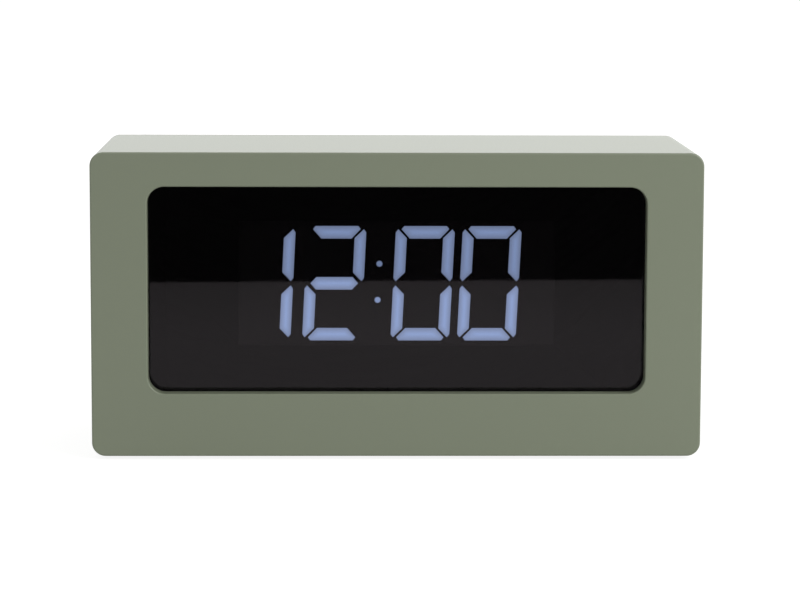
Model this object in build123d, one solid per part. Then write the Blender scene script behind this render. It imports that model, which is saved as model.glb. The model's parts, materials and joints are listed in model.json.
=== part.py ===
"""Digital LED desk clock: a moulded box with a smoked window, slanted LED digits and set keys at the back.

Units are millimetres. +X is to the right of someone reading the clock, +Y runs from the front to the back and
+Z is up. The origin is on the table, under the middle of the case.
"""

import math
import os

from build123d import *

# Case
CASE_WIDTH = 160.0
CASE_HEIGHT = 80.0
CASE_DEPTH = 64.0
CASE_WALL = 2.5
CASE_CORNER_RADIUS = 3.6
CASE_EDGE_RADIUS = 0.5

# Window in the front wall, with a collar that runs back to the lens
WINDOW_SIDE_MARGIN = 14.8
WINDOW_TOP_MARGIN = 9.0
WINDOW_BOTTOM_MARGIN = 16.6
WINDOW_RADIUS = 4.5
WINDOW_RECESS = 5.5
WINDOW_EDGE_RADIUS = 0.4
COLLAR_WALL = 3.0

# Lens and the adhesive tape that holds it to the collar
LENS_THICKNESS = 2.0
TAPE_THICKNESS = 0.4
TAPE_MARGIN = 0.5

# Black frame behind the lens, which carries the display board
FRAME_THICKNESS = 1.6
FRAME_MARGIN = 0.6
FRAME_EAR_HEIGHT = 8.0
FRAME_EAR_GAP = 1.2
FRAME_POST_RADIUS = 2.6
FRAME_SCREW_SPACING = 32.0
SLEEVE_WALL = 1.2
SLEEVE_CLEARANCE = 0.15

# LED digit block: three whole digits and a leading one, leaning to the right
BLOCK_WIDTH = 83.0
BLOCK_HEIGHT = 32.6
BLOCK_DEPTH = 9.0
BLOCK_LENS_GAP = 0.5
BLOCK_RISE = 1.1
DIGIT_WIDTH = 15.55
DIGIT_HEIGHT = 30.4
DIGIT_SLANT_DEG = 2.75
UPRIGHT_SEGMENT = 3.0
LEVEL_SEGMENT = 3.35
SEGMENT_GAP = 0.8
SEGMENT_MID_GAP = 1.1
SEGMENT_CHAMFER = 0.65
SEGMENT_CHAMFER_RISE = 0.85
SEGMENT_CORNER_DROP = 0.85
SEGMENT_INSERT = 1.2
WELL_FLOOR_SHARE = 0.8
MINUTE_PITCH = 17.6
HOUR_PITCH = 18.6
COLON_X = -4.8
COLON_GAP = 7.75
COLON_RADIUS = 0.82
COLON_SPACING = 9.6
COLON_RISE = 0.4
LED_LENGTH = 1.6
LED_WIDTH = 0.8
LED_HEIGHT = 0.6

# Circuit boards
BOARD_THICKNESS = 1.6
DISPLAY_BOARD_MARGIN_X = 8.5
DISPLAY_BOARD_MARGIN_Z = 3.0
DISPLAY_BOSS_RADIUS = 2.4
DISPLAY_BOSS_INSET = 3.2
DISPLAY_SCREW_SPACING = 22.0
MAIN_BOARD_SIDE_GAP = 11.5
MAIN_BOARD_TOP_GAP = 3.0
MAIN_BOARD_STANDOFF = 7.5
MAIN_BOSS_RADIUS = 2.8
MAIN_BOSS_INSET = 3.6
MAIN_SCREW_RISE_SHARE = 0.35
BOARD_CORNER_RADIUS = 1.0

# Chips and other parts soldered to the boards
CHIP_LENGTH = 10.0
CHIP_WIDTH = 4.0
CHIP_HEIGHT = 1.6
DRIVER_CHIP_X = 28.0
CLOCK_CHIP_X = 22.0
CRYSTAL_RADIUS = 1.5
CRYSTAL_LENGTH = 8.0
CRYSTAL_X = 34.0
CAPACITOR_RADIUS = 3.0
CAPACITOR_HEIGHT = 7.0
CAPACITOR_X = -40.0
CAPACITOR_PITCH = 8.5
BUZZER_RADIUS = 6.0
BUZZER_HEIGHT = 5.0
BUZZER_PORT_RADIUS = 1.2
BUZZER_PORT_DEPTH = 1.5
CAN_EDGE_RADIUS = 0.5

# Flat ribbon between the boards
RIBBON_WIDTH = 12.0
RIBBON_THICKNESS = 1.0
PLUG_WIDTH = 15.0
PLUG_HEIGHT = 4.5
PLUG_DEPTH = 5.0
RIBBON_RUN_SHARE = 0.4
BEND_SHARE = 0.45

# Rear cover, set into the back of the case
COVER_THICKNESS = 2.5
COVER_SETBACK = 1.0
COVER_CLEARANCE = 0.3
COVER_RADIUS = 1.2
COVER_EDGE_RADIUS = 0.4
POST_RADIUS = 3.0
POST_INSET_X = 4.3
POST_INSET_Z = 4.3
POST_RIB = 1.4

# Screws
SCREW_RADIUS = 1.1
SCREW_HEAD_RADIUS = 2.1
SCREW_HEAD_HEIGHT = 1.4
SCREW_HEAD_EDGE = 0.4
SCREW_GRIP = 6.0
SHORT_SCREW_GRIP = 3.6
PILOT_CLEARANCE = 0.05
SCREW_HOLE_CLEARANCE = 0.3
SCREW_TIP_GAP = 0.6
COVER_SINK_DEPTH = 1.5
COVER_SINK_CLEARANCE = 0.4
DRIVE_WIDTH = 0.6
DRIVE_LENGTH = 2.4
DRIVE_DEPTH = 0.8

# Keys at the back, each over a small press switch
KEY_LENGTH = 11.0
KEY_HEIGHT = 6.0
KEY_PROUD = 0.8
KEY_CLEARANCE = 0.25
KEY_FLANGE = 1.25
KEY_FLANGE_THICKNESS = 1.0
KEY_SEAT_GAP = 0.3
KEY_TRAVEL = 0.8
KEY_EDGE_RADIUS = 0.5
KEY_PITCH = 16.0
KEY_ROW_X = 6.0
KEY_NAMES = ("plus", "minus", "alarm", "mode")
SWITCH_SIZE = 6.0
SWITCH_HEIGHT = 3.5
SWITCH_FLOOR = 0.9
PLUNGER_RADIUS = 1.6
PLUNGER_PROUD = 1.2
PLUNGER_CLEARANCE = 0.1

# Alarm slide switch
SLIDER_KNOB_LENGTH = 5.0
SLIDER_KNOB_HEIGHT = 3.6
SLIDER_PROUD = 0.7
SLIDER_EDGE_RADIUS = 0.3
SLIDER_TRAVEL = 4.0
SLIDER_CLEARANCE = 0.25
SLIDER_FLANGE_OVERLAP = 1.0
SLIDER_KEY_PITCH = 18.0
SLIDER_GROOVES = 3
SLIDER_GROOVE_WIDTH = 0.6
SLIDER_GROOVE_DEPTH = 0.4
SLIDER_GROOVE_PITCH = 1.3
SLIDE_BODY_LENGTH = 10.0
SLIDE_BODY_WIDTH = 4.4
SLIDE_BODY_HEIGHT = 4.0
SLIDE_BODY_FLOOR = 1.4
LEVER_LENGTH = 1.8
LEVER_WIDTH = 1.4
LEVER_BITE = 0.5
LEVER_CLEARANCE = 0.15

# USB power socket
USB_SLIDER_PITCH = 17.0
USB_WIDTH = 8.94
USB_HEIGHT = 3.26
USB_WALL = 0.3
USB_SETBACK = 0.2
USB_CLEARANCE = 0.25
USB_DEPTH = 6.2
TONGUE_WIDTH = 6.7
TONGUE_THICKNESS = 0.7
TONGUE_SETBACK = 0.6

# Sound holes over the buzzer
SOUND_KEY_PITCH = 20.0
SOUND_HOLE_RADIUS = 0.8
SOUND_HOLE_PITCH = 2.7
SOUND_RINGS = 2

# Battery bay and its door
CELL_RADIUS = 5.25
CELL_LENGTH = 43.4
CELL_NUB_RADIUS = 1.9
CELL_NUB_LENGTH = 1.1
CELL_EDGE_RADIUS = 0.5
CELL_COUNT = 3
CELL_SPACE = 0.5
BAY_WALL = 1.6
BAY_FLOOR_GAP = 0.2
CONTACT_THICKNESS = 0.4
CONTACT_WIDTH = 7.0
CONTACT_SPRING_DEPTH = 3.0
CONTACT_SPRING_GAP = 0.1
SPRING_ARM_SHARE = 0.34
SPRING_CREST_SHARE = 0.1
DOOR_THICKNESS = 1.8
DOOR_CLEARANCE = 0.3
DOOR_RADIUS = 2.0
DOOR_EDGE_RADIUS = 0.3
DOOR_MARGIN = 5.5
DOOR_CELL_GAP = 0.5
DOOR_TAB_WIDTH = 8.0
DOOR_TAB_THICKNESS = 1.0
DOOR_TAB_LENGTH = 2.0
DOOR_TAB_SHARE = 0.3
DOOR_LIP = 0.6
DOOR_LATCH_WIDTH = 12.0
DOOR_LATCH_LENGTH = 9.0
DOOR_LATCH_SLIT = 0.8
DOOR_RIB_LENGTH = 8.0
DOOR_RIB_WIDTH = 0.8
DOOR_RIB_PROUD = 0.4
DOOR_RIB_PITCH = 1.8
DOOR_RIBS = 3
TAB_CONTACT_WIDTH = 2.0
TAB_CONTACT_PROUD = 2.0
LEAD_RADIUS = 0.7
LEAD_DROP = 8.0
LEAD_INSET_SHARE = 0.4

# Feet
FOOT_RADIUS = 5.0
FOOT_PROUD = 1.0
FOOT_SINK = 0.8
FOOT_CLEARANCE = 0.1
FOOT_EDGE = 0.4
FOOT_INSET_X = 18.0
FOOT_INSET_Y = 12.0

# Every cut runs this far past the face that it goes through
OVERRUN = 1.0

# Heights
BODY_BOTTOM = FOOT_PROUD
BODY_TOP = BODY_BOTTOM + CASE_HEIGHT
BODY_MID = BODY_BOTTOM + CASE_HEIGHT / 2
INNER_WIDTH = CASE_WIDTH - 2 * CASE_WALL
INNER_HEIGHT = CASE_HEIGHT - 2 * CASE_WALL
INNER_RADIUS = max(CASE_CORNER_RADIUS - CASE_WALL, COVER_RADIUS)
INNER_BOTTOM = BODY_BOTTOM + CASE_WALL
INNER_TOP = BODY_TOP - CASE_WALL
WINDOW_WIDTH = CASE_WIDTH - 2 * WINDOW_SIDE_MARGIN
WINDOW_HEIGHT = CASE_HEIGHT - WINDOW_TOP_MARGIN - WINDOW_BOTTOM_MARGIN
WINDOW_MID = BODY_BOTTOM + WINDOW_BOTTOM_MARGIN + WINDOW_HEIGHT / 2
LENS_WIDTH = WINDOW_WIDTH + 2 * COLLAR_WALL

# Depths, from the front to the back
FRONT_Y = -CASE_DEPTH / 2
BACK_Y = CASE_DEPTH / 2
FRONT_INNER_Y = FRONT_Y + CASE_WALL
LENS_FRONT_Y = FRONT_Y + WINDOW_RECESS
COLLAR_BACK_Y = LENS_FRONT_Y - TAPE_THICKNESS
LENS_BACK_Y = LENS_FRONT_Y + LENS_THICKNESS
FRAME_BACK_Y = LENS_BACK_Y + FRAME_THICKNESS
BLOCK_FRONT_Y = LENS_BACK_Y + BLOCK_LENS_GAP
BLOCK_BACK_Y = BLOCK_FRONT_Y + BLOCK_DEPTH
DISPLAY_BACK_Y = BLOCK_BACK_Y + BOARD_THICKNESS
COVER_OUTER_Y = BACK_Y - COVER_SETBACK
COVER_INNER_Y = COVER_OUTER_Y - COVER_THICKNESS
COVER_SINK_Y = COVER_OUTER_Y - COVER_SINK_DEPTH
MAIN_BACK_Y = COVER_INNER_Y - MAIN_BOARD_STANDOFF
MAIN_FRONT_Y = MAIN_BACK_Y - BOARD_THICKNESS
DOOR_INNER_Y = COVER_OUTER_Y - DOOR_THICKNESS
BAY_FLOOR_Y = DOOR_INNER_Y - DOOR_CELL_GAP - 2 * CELL_RADIUS - BAY_FLOOR_GAP
CELL_Y = BAY_FLOOR_Y + BAY_FLOOR_GAP + CELL_RADIUS
BAY_FRONT_Y = BAY_FLOOR_Y - BAY_WALL
KEY_FLANGE_BACK_Y = COVER_INNER_Y - KEY_SEAT_GAP
KEY_FLANGE_FRONT_Y = KEY_FLANGE_BACK_Y - KEY_FLANGE_THICKNESS
SWITCH_BACK_Y = MAIN_BACK_Y + SWITCH_HEIGHT
PLUNGER_BACK_Y = SWITCH_BACK_Y + PLUNGER_PROUD
SLIDE_BODY_BACK_Y = MAIN_BACK_Y + SLIDE_BODY_HEIGHT

# Display
BLOCK_MID = WINDOW_MID + BLOCK_RISE
DISPLAY_BOARD_WIDTH = BLOCK_WIDTH + 2 * DISPLAY_BOARD_MARGIN_X
DISPLAY_BOARD_HEIGHT = BLOCK_HEIGHT + 2 * DISPLAY_BOARD_MARGIN_Z
DIGIT_SLANT = math.tan(math.radians(DIGIT_SLANT_DEG))
MINUTE_TENS_X = COLON_X + COLON_GAP / 2 + DIGIT_WIDTH / 2
MINUTE_UNITS_X = MINUTE_TENS_X + MINUTE_PITCH
HOUR_UNITS_X = COLON_X - COLON_GAP / 2 - DIGIT_WIDTH / 2
HOUR_TENS_X = HOUR_UNITS_X - HOUR_PITCH

# Battery bay
CELL_PITCH = 2 * CELL_RADIUS + CELL_SPACE
BAY_LENGTH = CELL_LENGTH + CELL_NUB_LENGTH + 2 * CONTACT_THICKNESS + CONTACT_SPRING_DEPTH
BAY_HEIGHT = CELL_COUNT * CELL_PITCH + CELL_SPACE
DOOR_LENGTH = BAY_LENGTH + 2 * BAY_WALL
DOOR_HEIGHT = BAY_HEIGHT + 2 * BAY_WALL
DOOR_BOTTOM = INNER_BOTTOM + COVER_CLEARANCE + DOOR_MARGIN
DOOR_TOP = DOOR_BOTTOM + DOOR_HEIGHT
DOOR_MID = DOOR_BOTTOM + DOOR_HEIGHT / 2
DOOR_TAB_SWEEP = math.hypot(DOOR_THICKNESS, DOOR_TAB_LENGTH) + DOOR_CLEARANCE
DOOR_TAB_X = DOOR_LENGTH * DOOR_TAB_SHARE

# Main board and what stands on it
MAIN_BOARD_WIDTH = INNER_WIDTH - 2 * MAIN_BOARD_SIDE_GAP
MAIN_BOARD_TOP = INNER_TOP - MAIN_BOARD_TOP_GAP
MAIN_BOARD_BOTTOM = DOOR_TOP + DOOR_MARGIN
MAIN_BOARD_HEIGHT = MAIN_BOARD_TOP - MAIN_BOARD_BOTTOM
MAIN_BOARD_MID = MAIN_BOARD_TOP - MAIN_BOARD_HEIGHT / 2
LEAD_BOARD_INSET = (MAIN_BOARD_HEIGHT - CHIP_WIDTH) / 2 * LEAD_INSET_SHARE
KEY_FIRST_X = KEY_ROW_X + (len(KEY_NAMES) - 1) / 2 * KEY_PITCH
KEY_XS = {name: KEY_FIRST_X - place * KEY_PITCH for place, name in enumerate(KEY_NAMES)}
SLIDER_X = min(KEY_XS.values()) - SLIDER_KEY_PITCH
SLIDER_REST_X = SLIDER_X - SLIDER_TRAVEL / 2
USB_X = SLIDER_X - USB_SLIDER_PITCH
SOUND_X = max(KEY_XS.values()) + SOUND_KEY_PITCH

# Screws
SCREW_HOLE_RADIUS = SCREW_RADIUS + SCREW_HOLE_CLEARANCE
BOARD_SCREW_LENGTH = SHORT_SCREW_GRIP + BOARD_THICKNESS
POST_X = INNER_WIDTH / 2 - POST_INSET_X
POST_RISE = INNER_HEIGHT / 2 - POST_INSET_Z
POST_PLACES = [(side * POST_X, BODY_MID + up * POST_RISE) for side in (-1, 1) for up in (-1, 1)]
FRAME_HALF_WIDTH = LENS_WIDTH / 2 + FRAME_MARGIN
FRAME_EAR_END = INNER_WIDTH / 2 - FRAME_EAR_GAP
FRAME_SCREW_X = (FRAME_HALF_WIDTH + FRAME_EAR_END) / 2
FRAME_SCREW_PLACES = [
    (side * FRAME_SCREW_X, WINDOW_MID + up * FRAME_SCREW_SPACING / 2) for side in (-1, 1) for up in (-1, 1)
]
DISPLAY_SCREW_X = DISPLAY_BOARD_WIDTH / 2 - DISPLAY_BOSS_INSET
DISPLAY_SCREW_PLACES = [
    (side * DISPLAY_SCREW_X, BLOCK_MID + up * DISPLAY_SCREW_SPACING / 2) for side in (-1, 1) for up in (-1, 1)
]
MAIN_SCREW_X = MAIN_BOARD_WIDTH / 2 - MAIN_BOSS_INSET
MAIN_SCREW_RISE = MAIN_BOARD_HEIGHT * MAIN_SCREW_RISE_SHARE
MAIN_SCREW_PLACES = [
    (side * MAIN_SCREW_X, MAIN_BOARD_MID + up * MAIN_SCREW_RISE) for side in (-1, 1) for up in (-1, 1)
]
FOOT_PLACES = [
    (side * (CASE_WIDTH / 2 - FOOT_INSET_X), end * (CASE_DEPTH / 2 - FOOT_INSET_Y))
    for side in (-1, 1)
    for end in (-1, 1)
]


def at_depth(outline, y):
    """Stands an outline drawn in X and Z at one depth, facing the reader."""
    return Plane(origin=(0, y, 0), x_dir=(1, 0, 0), z_dir=(0, -1, 0)) * outline


def slab(outline, y_front, y_back):
    """Extrudes an outline from one depth to another."""
    return extrude(at_depth(outline, y_back), y_back - y_front)


def tapered(front, back, y_front, y_back):
    """Joins two like outlines at two depths by straight sides."""
    return loft([at_depth(front, y_front), at_depth(back, y_back)], ruled=True)


def rod(radius, y_front, y_back, x, z):
    """A round bar along Y."""
    return slab(Pos(x, z) * Circle(radius), y_front, y_back)


def block(length, height, y_front, y_back, x, z):
    """A rectangular block centred at x and z."""
    return slab(Pos(x, z) * Rectangle(length, height), y_front, y_back)


def pill(length, height, y_front, y_back, x, z):
    """A bar with round ends, lying along X."""
    return slab(Pos(x, z) * SlotOverall(length, height), y_front, y_back)


def upright(radius, height):
    """A round bar that stands on the XY plane."""
    return Cylinder(radius, height, align=(Align.CENTER, Align.CENTER, Align.MIN))


def front_rim(part):
    """Edges of the face nearest the reader."""
    return part.faces().sort_by(Axis.Y)[0].edges()


def back_rim(part):
    """Edges of the face nearest the back."""
    return part.faces().sort_by(Axis.Y)[-1].edges()


def window_outline(grow):
    """The window's rounded rectangle, grown on every side."""
    width, height = WINDOW_WIDTH + 2 * grow, WINDOW_HEIGHT + 2 * grow
    return Pos(0, WINDOW_MID) * RectangleRounded(width, height, WINDOW_RADIUS + grow)


def pilot_hole(place, y_mouth, depth, direction):
    """Hole for a screw, from its mouth along Y in the given direction."""
    ends = sorted((y_mouth - direction * OVERRUN, y_mouth + direction * depth))
    return rod(SCREW_RADIUS + PILOT_CLEARANCE, *ends, *place)


def screw(place, y_seat, grip, direction):
    """Pan-head screw whose head bears on y_seat and whose shank runs along Y in the given direction."""
    x, z = place
    y_head = y_seat - direction * SCREW_HEAD_HEIGHT
    y_tip = y_seat + direction * grip
    rim = back_rim if direction < 0 else front_rim
    head = rod(SCREW_HEAD_RADIUS, *sorted((y_seat, y_head)), x, z)
    head = chamfer(rim(head), SCREW_HEAD_EDGE)
    shank = rod(SCREW_RADIUS, *sorted((y_seat, y_tip)), x, z)
    drive_ends = sorted((y_head - direction * OVERRUN, y_head + direction * DRIVE_DEPTH))
    cross = block(DRIVE_LENGTH, DRIVE_WIDTH, *drive_ends, x, z)
    cross += block(DRIVE_WIDTH, DRIVE_LENGTH, *drive_ends, x, z)
    return head + shank - cross


def case_shell():
    """Five-sided housing with the window collar, the screw posts and the foot pockets."""
    outline = Pos(0, BODY_MID) * RectangleRounded(CASE_WIDTH, CASE_HEIGHT, CASE_CORNER_RADIUS)
    shell = slab(outline, FRONT_Y, BACK_Y)
    shell = fillet(front_rim(shell) + back_rim(shell), CASE_EDGE_RADIUS)
    hollow = Pos(0, BODY_MID) * RectangleRounded(INNER_WIDTH, INNER_HEIGHT, INNER_RADIUS)
    shell -= slab(hollow, FRONT_INNER_Y, BACK_Y + OVERRUN)
    shell += slab(window_outline(COLLAR_WALL), FRONT_INNER_Y, COLLAR_BACK_Y)
    shell -= slab(window_outline(0), FRONT_Y - OVERRUN, COLLAR_BACK_Y + OVERRUN)
    front_face = shell.faces().sort_by(Axis.Y)[0]
    shell = fillet(front_face.inner_wires()[0].edges(), WINDOW_EDGE_RADIUS)
    for x, z in POST_PLACES:
        wall_x = math.copysign(INNER_WIDTH / 2, x)
        wall_z = INNER_TOP if z > BODY_MID else INNER_BOTTOM
        shell += rod(POST_RADIUS, FRONT_INNER_Y, COVER_INNER_Y, x, z)
        shell += block(abs(wall_x - x), POST_RIB, FRONT_INNER_Y, COVER_INNER_Y, (x + wall_x) / 2, z)
        shell += block(POST_RIB, abs(wall_z - z), FRONT_INNER_Y, COVER_INNER_Y, x, (z + wall_z) / 2)
        shell -= pilot_hole((x, z), COVER_INNER_Y, SCREW_GRIP + SCREW_TIP_GAP, -1)
    for x, z in FRAME_SCREW_PLACES:
        shell += rod(FRAME_POST_RADIUS, FRONT_INNER_Y, LENS_BACK_Y, x, z)
        shell -= pilot_hole((x, z), LENS_BACK_Y, SHORT_SCREW_GRIP + SCREW_TIP_GAP, -1)
    for x, y in FOOT_PLACES:
        shell -= Pos(x, y, BODY_BOTTOM) * upright(FOOT_RADIUS + FOOT_CLEARANCE, FOOT_SINK)
    return shell


def rubber_feet():
    """Four round pads, each set into a pocket under the case."""
    pads = []
    for x, y in FOOT_PLACES:
        pad = upright(FOOT_RADIUS, FOOT_PROUD + FOOT_SINK)
        pad = chamfer(pad.faces().sort_by(Axis.Z)[0].edges(), FOOT_EDGE)
        pads.append(Pos(x, y, 0) * pad)
    return pads


def display_lens():
    """Smoked window plate behind the collar."""
    return [slab(window_outline(COLLAR_WALL), LENS_FRONT_Y, LENS_BACK_Y)]


def lens_tape():
    """Ring of adhesive tape between the collar and the lens."""
    ring = window_outline(COLLAR_WALL - TAPE_MARGIN) - window_outline(TAPE_MARGIN)
    return [slab(ring, COLLAR_BACK_Y, LENS_FRONT_Y)]


def display_frame():
    """Black frame with a light-tight sleeve round the digit block and bosses for the display board."""
    frame = slab(window_outline(COLLAR_WALL + FRAME_MARGIN), LENS_BACK_Y, FRAME_BACK_Y)
    ear_length = FRAME_EAR_END - FRAME_HALF_WIDTH + COLLAR_WALL
    for x, z in FRAME_SCREW_PLACES:
        ear_x = math.copysign(FRAME_EAR_END - ear_length / 2, x)
        frame += block(ear_length, FRAME_EAR_HEIGHT, LENS_BACK_Y, FRAME_BACK_Y, ear_x, z)
        frame -= rod(SCREW_HOLE_RADIUS, LENS_BACK_Y - OVERRUN, FRAME_BACK_Y + OVERRUN, x, z)
    inside = 2 * SLEEVE_CLEARANCE
    outside = inside + 2 * SLEEVE_WALL
    frame += block(BLOCK_WIDTH + outside, BLOCK_HEIGHT + outside, FRAME_BACK_Y, BLOCK_BACK_Y, 0, BLOCK_MID)
    for x, z in DISPLAY_SCREW_PLACES:
        frame += rod(DISPLAY_BOSS_RADIUS, FRAME_BACK_Y, BLOCK_BACK_Y, x, z)
        frame -= pilot_hole((x, z), BLOCK_BACK_Y, SHORT_SCREW_GRIP + SCREW_TIP_GAP, -1)
    opening = (BLOCK_WIDTH + inside, BLOCK_HEIGHT + inside, LENS_BACK_Y - OVERRUN, BLOCK_BACK_Y + OVERRUN)
    return [frame - block(*opening, 0, BLOCK_MID)]


def lean(points, x):
    """Moves digit points to their place on the block and leans them with the slant."""
    return [(x + px + pz * DIGIT_SLANT, BLOCK_MID + pz) for px, pz in points]


def segment_points(name):
    """Outline of one of the seven segments of a digit, about the digit's centre and upright."""
    half_width, half_height = DIGIT_WIDTH / 2, DIGIT_HEIGHT / 2
    inner = half_width - UPRIGHT_SEGMENT
    tip = half_width - UPRIGHT_SEGMENT / 2
    if name == "g":
        half_bar = LEVEL_SEGMENT / 2
        right = [(inner, -half_bar), (tip, 0), (inner, half_bar)]
        return right + [(-px, -pz) for px, pz in right]
    if name in "ad":
        sign = 1 if name == "a" else -1
        right = [
            (inner - SEGMENT_GAP, half_height - LEVEL_SEGMENT),
            (tip, half_height - SEGMENT_CHAMFER_RISE),
            (tip - SEGMENT_CHAMFER, half_height),
        ]
        left = [(-px, pz) for px, pz in reversed(right)]
        return [(px, sign * pz) for px, pz in right + left]
    side = 1 if name in "bc" else -1
    sign = 1 if name in "bf" else -1
    point_x = half_width - SEGMENT_CHAMFER
    slope = UPRIGHT_SEGMENT - SEGMENT_CHAMFER
    foot = SEGMENT_MID_GAP / 2
    head = half_height - SEGMENT_CORNER_DROP
    outline = [
        (point_x, foot),
        (half_width, foot + SEGMENT_CHAMFER_RISE),
        (half_width, head - SEGMENT_CHAMFER_RISE),
        (point_x, head),
        (inner, head - slope),
        (inner, foot + slope),
    ]
    return [(side * px, sign * pz) for px, pz in outline]


def span(values):
    """Middle and length of the stretch that a set of values covers."""
    return (min(values) + max(values)) / 2, max(values) - min(values)


def segment_face(name, x, size_share=1):
    """Face of one segment of the digit centred at x, shrunk about its own middle by a share."""
    points = lean(segment_points(name), x)
    mid_x, mid_z = (span(values)[0] for values in zip(*points))
    drawn = [(mid_x + size_share * (px - mid_x), mid_z + size_share * (pz - mid_z)) for px, pz in points]
    return make_face(Polyline(*drawn, close=True))


DIGITS = {
    "hour_tens": (HOUR_TENS_X, "bc", ""),
    "hour_units": (HOUR_UNITS_X, "abged", "cf"),
    "minute_tens": (MINUTE_TENS_X, "abcdef", "g"),
    "minute_units": (MINUTE_UNITS_X, "abcdef", "g"),
}
COLON_POINTS = lean([(0, COLON_RISE + side * COLON_SPACING / 2) for side in (-1, 1)], COLON_X)


def digit_segments(x, names):
    """Diffuser inserts of the named segments, flush with the block's face."""
    return [slab(segment_face(name, x), BLOCK_FRONT_Y, BLOCK_FRONT_Y + SEGMENT_INSERT) for name in names]


def unlit_segments():
    """Diffuser inserts of the segments that twelve o'clock leaves dark."""
    return [insert for x, _, dark in DIGITS.values() for insert in digit_segments(x, dark)]


def colon_dots():
    """Two round diffuser inserts between the hours and the minutes."""
    return [rod(COLON_RADIUS, BLOCK_FRONT_Y, BLOCK_FRONT_Y + SEGMENT_INSERT, x, z) for x, z in COLON_POINTS]


def light_well(mouth, floor):
    """Well that takes an insert at its mouth and narrows from there to the floor where the LEDs stand."""
    y_insert = BLOCK_FRONT_Y + SEGMENT_INSERT
    well = slab(mouth, BLOCK_FRONT_Y - OVERRUN, y_insert)
    well += tapered(mouth, floor, y_insert, BLOCK_BACK_Y)
    return well + slab(floor, BLOCK_BACK_Y, BLOCK_BACK_Y + OVERRUN)


def digit_block():
    """Reflector block with a light well behind every segment."""
    body = block(BLOCK_WIDTH, BLOCK_HEIGHT, BLOCK_FRONT_Y, BLOCK_BACK_Y, 0, BLOCK_MID)
    for x, lit, dark in DIGITS.values():
        for name in lit + dark:
            body -= light_well(segment_face(name, x), segment_face(name, x, WELL_FLOOR_SHARE))
    for place in COLON_POINTS:
        body -= light_well(*(Pos(*place) * Circle(COLON_RADIUS * share) for share in (1, WELL_FLOOR_SHARE)))
    return [body]


def led_chips():
    """A pair of LEDs in the well of every segment, and one behind each colon dot."""
    chips = []
    for x, lit, dark in DIGITS.values():
        for name in lit + dark:
            points = lean(segment_points(name), x)
            (mid_x, length), (mid_z, height) = (span(values) for values in zip(*points))
            level = name in "adg"
            reach = (length if level else height) / 4
            for side in (-1, 1):
                step = (side * reach, 0) if level else (side * reach * DIGIT_SLANT, side * reach)
                chips.append((mid_x + step[0], mid_z + step[1]))
    ends = (BLOCK_BACK_Y - LED_HEIGHT, BLOCK_BACK_Y)
    pairs = [block(LED_LENGTH, LED_WIDTH, *ends, x, z) for x, z in chips]
    return pairs + [block(LED_WIDTH, LED_WIDTH, *ends, x, z) for x, z in COLON_POINTS]


def display_board():
    """Circuit board behind the digit block."""
    outline = RectangleRounded(DISPLAY_BOARD_WIDTH, DISPLAY_BOARD_HEIGHT, BOARD_CORNER_RADIUS)
    board = slab(Pos(0, BLOCK_MID) * outline, BLOCK_BACK_Y, DISPLAY_BACK_Y)
    for x, z in DISPLAY_SCREW_PLACES:
        board -= rod(SCREW_HOLE_RADIUS, BLOCK_BACK_Y - OVERRUN, DISPLAY_BACK_Y + OVERRUN, x, z)
    return [board]


def main_board():
    """Circuit board behind the keys."""
    outline = RectangleRounded(MAIN_BOARD_WIDTH, MAIN_BOARD_HEIGHT, BOARD_CORNER_RADIUS)
    board = slab(Pos(0, MAIN_BOARD_MID) * outline, MAIN_FRONT_Y, MAIN_BACK_Y)
    for x, z in MAIN_SCREW_PLACES:
        board -= rod(SCREW_HOLE_RADIUS, MAIN_FRONT_Y - OVERRUN, MAIN_BACK_Y + OVERRUN, x, z)
    return [board]


def driver_chip():
    """LED driver on the back of the display board."""
    ends = (DISPLAY_BACK_Y, DISPLAY_BACK_Y + CHIP_HEIGHT)
    return [block(CHIP_LENGTH, CHIP_WIDTH, *ends, DRIVER_CHIP_X, BLOCK_MID)]


def clock_chip():
    """Clock controller on the front of the main board."""
    ends = (MAIN_FRONT_Y - CHIP_HEIGHT, MAIN_FRONT_Y)
    return [block(CHIP_LENGTH, CHIP_WIDTH, *ends, CLOCK_CHIP_X, MAIN_BOARD_MID)]


def crystal():
    """Watch crystal lying on the front of the main board."""
    can = Cylinder(CRYSTAL_RADIUS, CRYSTAL_LENGTH)
    return [Pos(CRYSTAL_X, MAIN_FRONT_Y - CRYSTAL_RADIUS, MAIN_BOARD_MID) * can]


def capacitors():
    """Two smoothing capacitors on the front of the main board."""
    places = [CAPACITOR_X + side * CAPACITOR_PITCH / 2 for side in (-1, 1)]
    ends = (MAIN_FRONT_Y - CAPACITOR_HEIGHT, MAIN_FRONT_Y)
    cans = [rod(CAPACITOR_RADIUS, *ends, x, MAIN_BOARD_MID) for x in places]
    return [fillet(front_rim(can), CAN_EDGE_RADIUS) for can in cans]


def buzzer():
    """Round sounder behind the sound holes."""
    y_back = MAIN_BACK_Y + BUZZER_HEIGHT
    can = rod(BUZZER_RADIUS, MAIN_BACK_Y, y_back, SOUND_X, MAIN_BOARD_MID)
    can = fillet(back_rim(can), CAN_EDGE_RADIUS)
    port = (y_back - BUZZER_PORT_DEPTH, y_back + OVERRUN)
    return [can - rod(BUZZER_PORT_RADIUS, *port, SOUND_X, MAIN_BOARD_MID)]


RIBBON_START = (DISPLAY_BACK_Y + PLUG_DEPTH, BLOCK_MID)
RIBBON_END = (MAIN_FRONT_Y - PLUG_DEPTH, MAIN_BOARD_MID)


def ribbon_plugs():
    """Connector of the ribbon on each board."""
    return [
        block(PLUG_WIDTH, PLUG_HEIGHT, DISPLAY_BACK_Y, DISPLAY_BACK_Y + PLUG_DEPTH, 0, BLOCK_MID),
        block(PLUG_WIDTH, PLUG_HEIGHT, MAIN_FRONT_Y - PLUG_DEPTH, MAIN_FRONT_Y, 0, MAIN_BOARD_MID),
    ]


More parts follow.
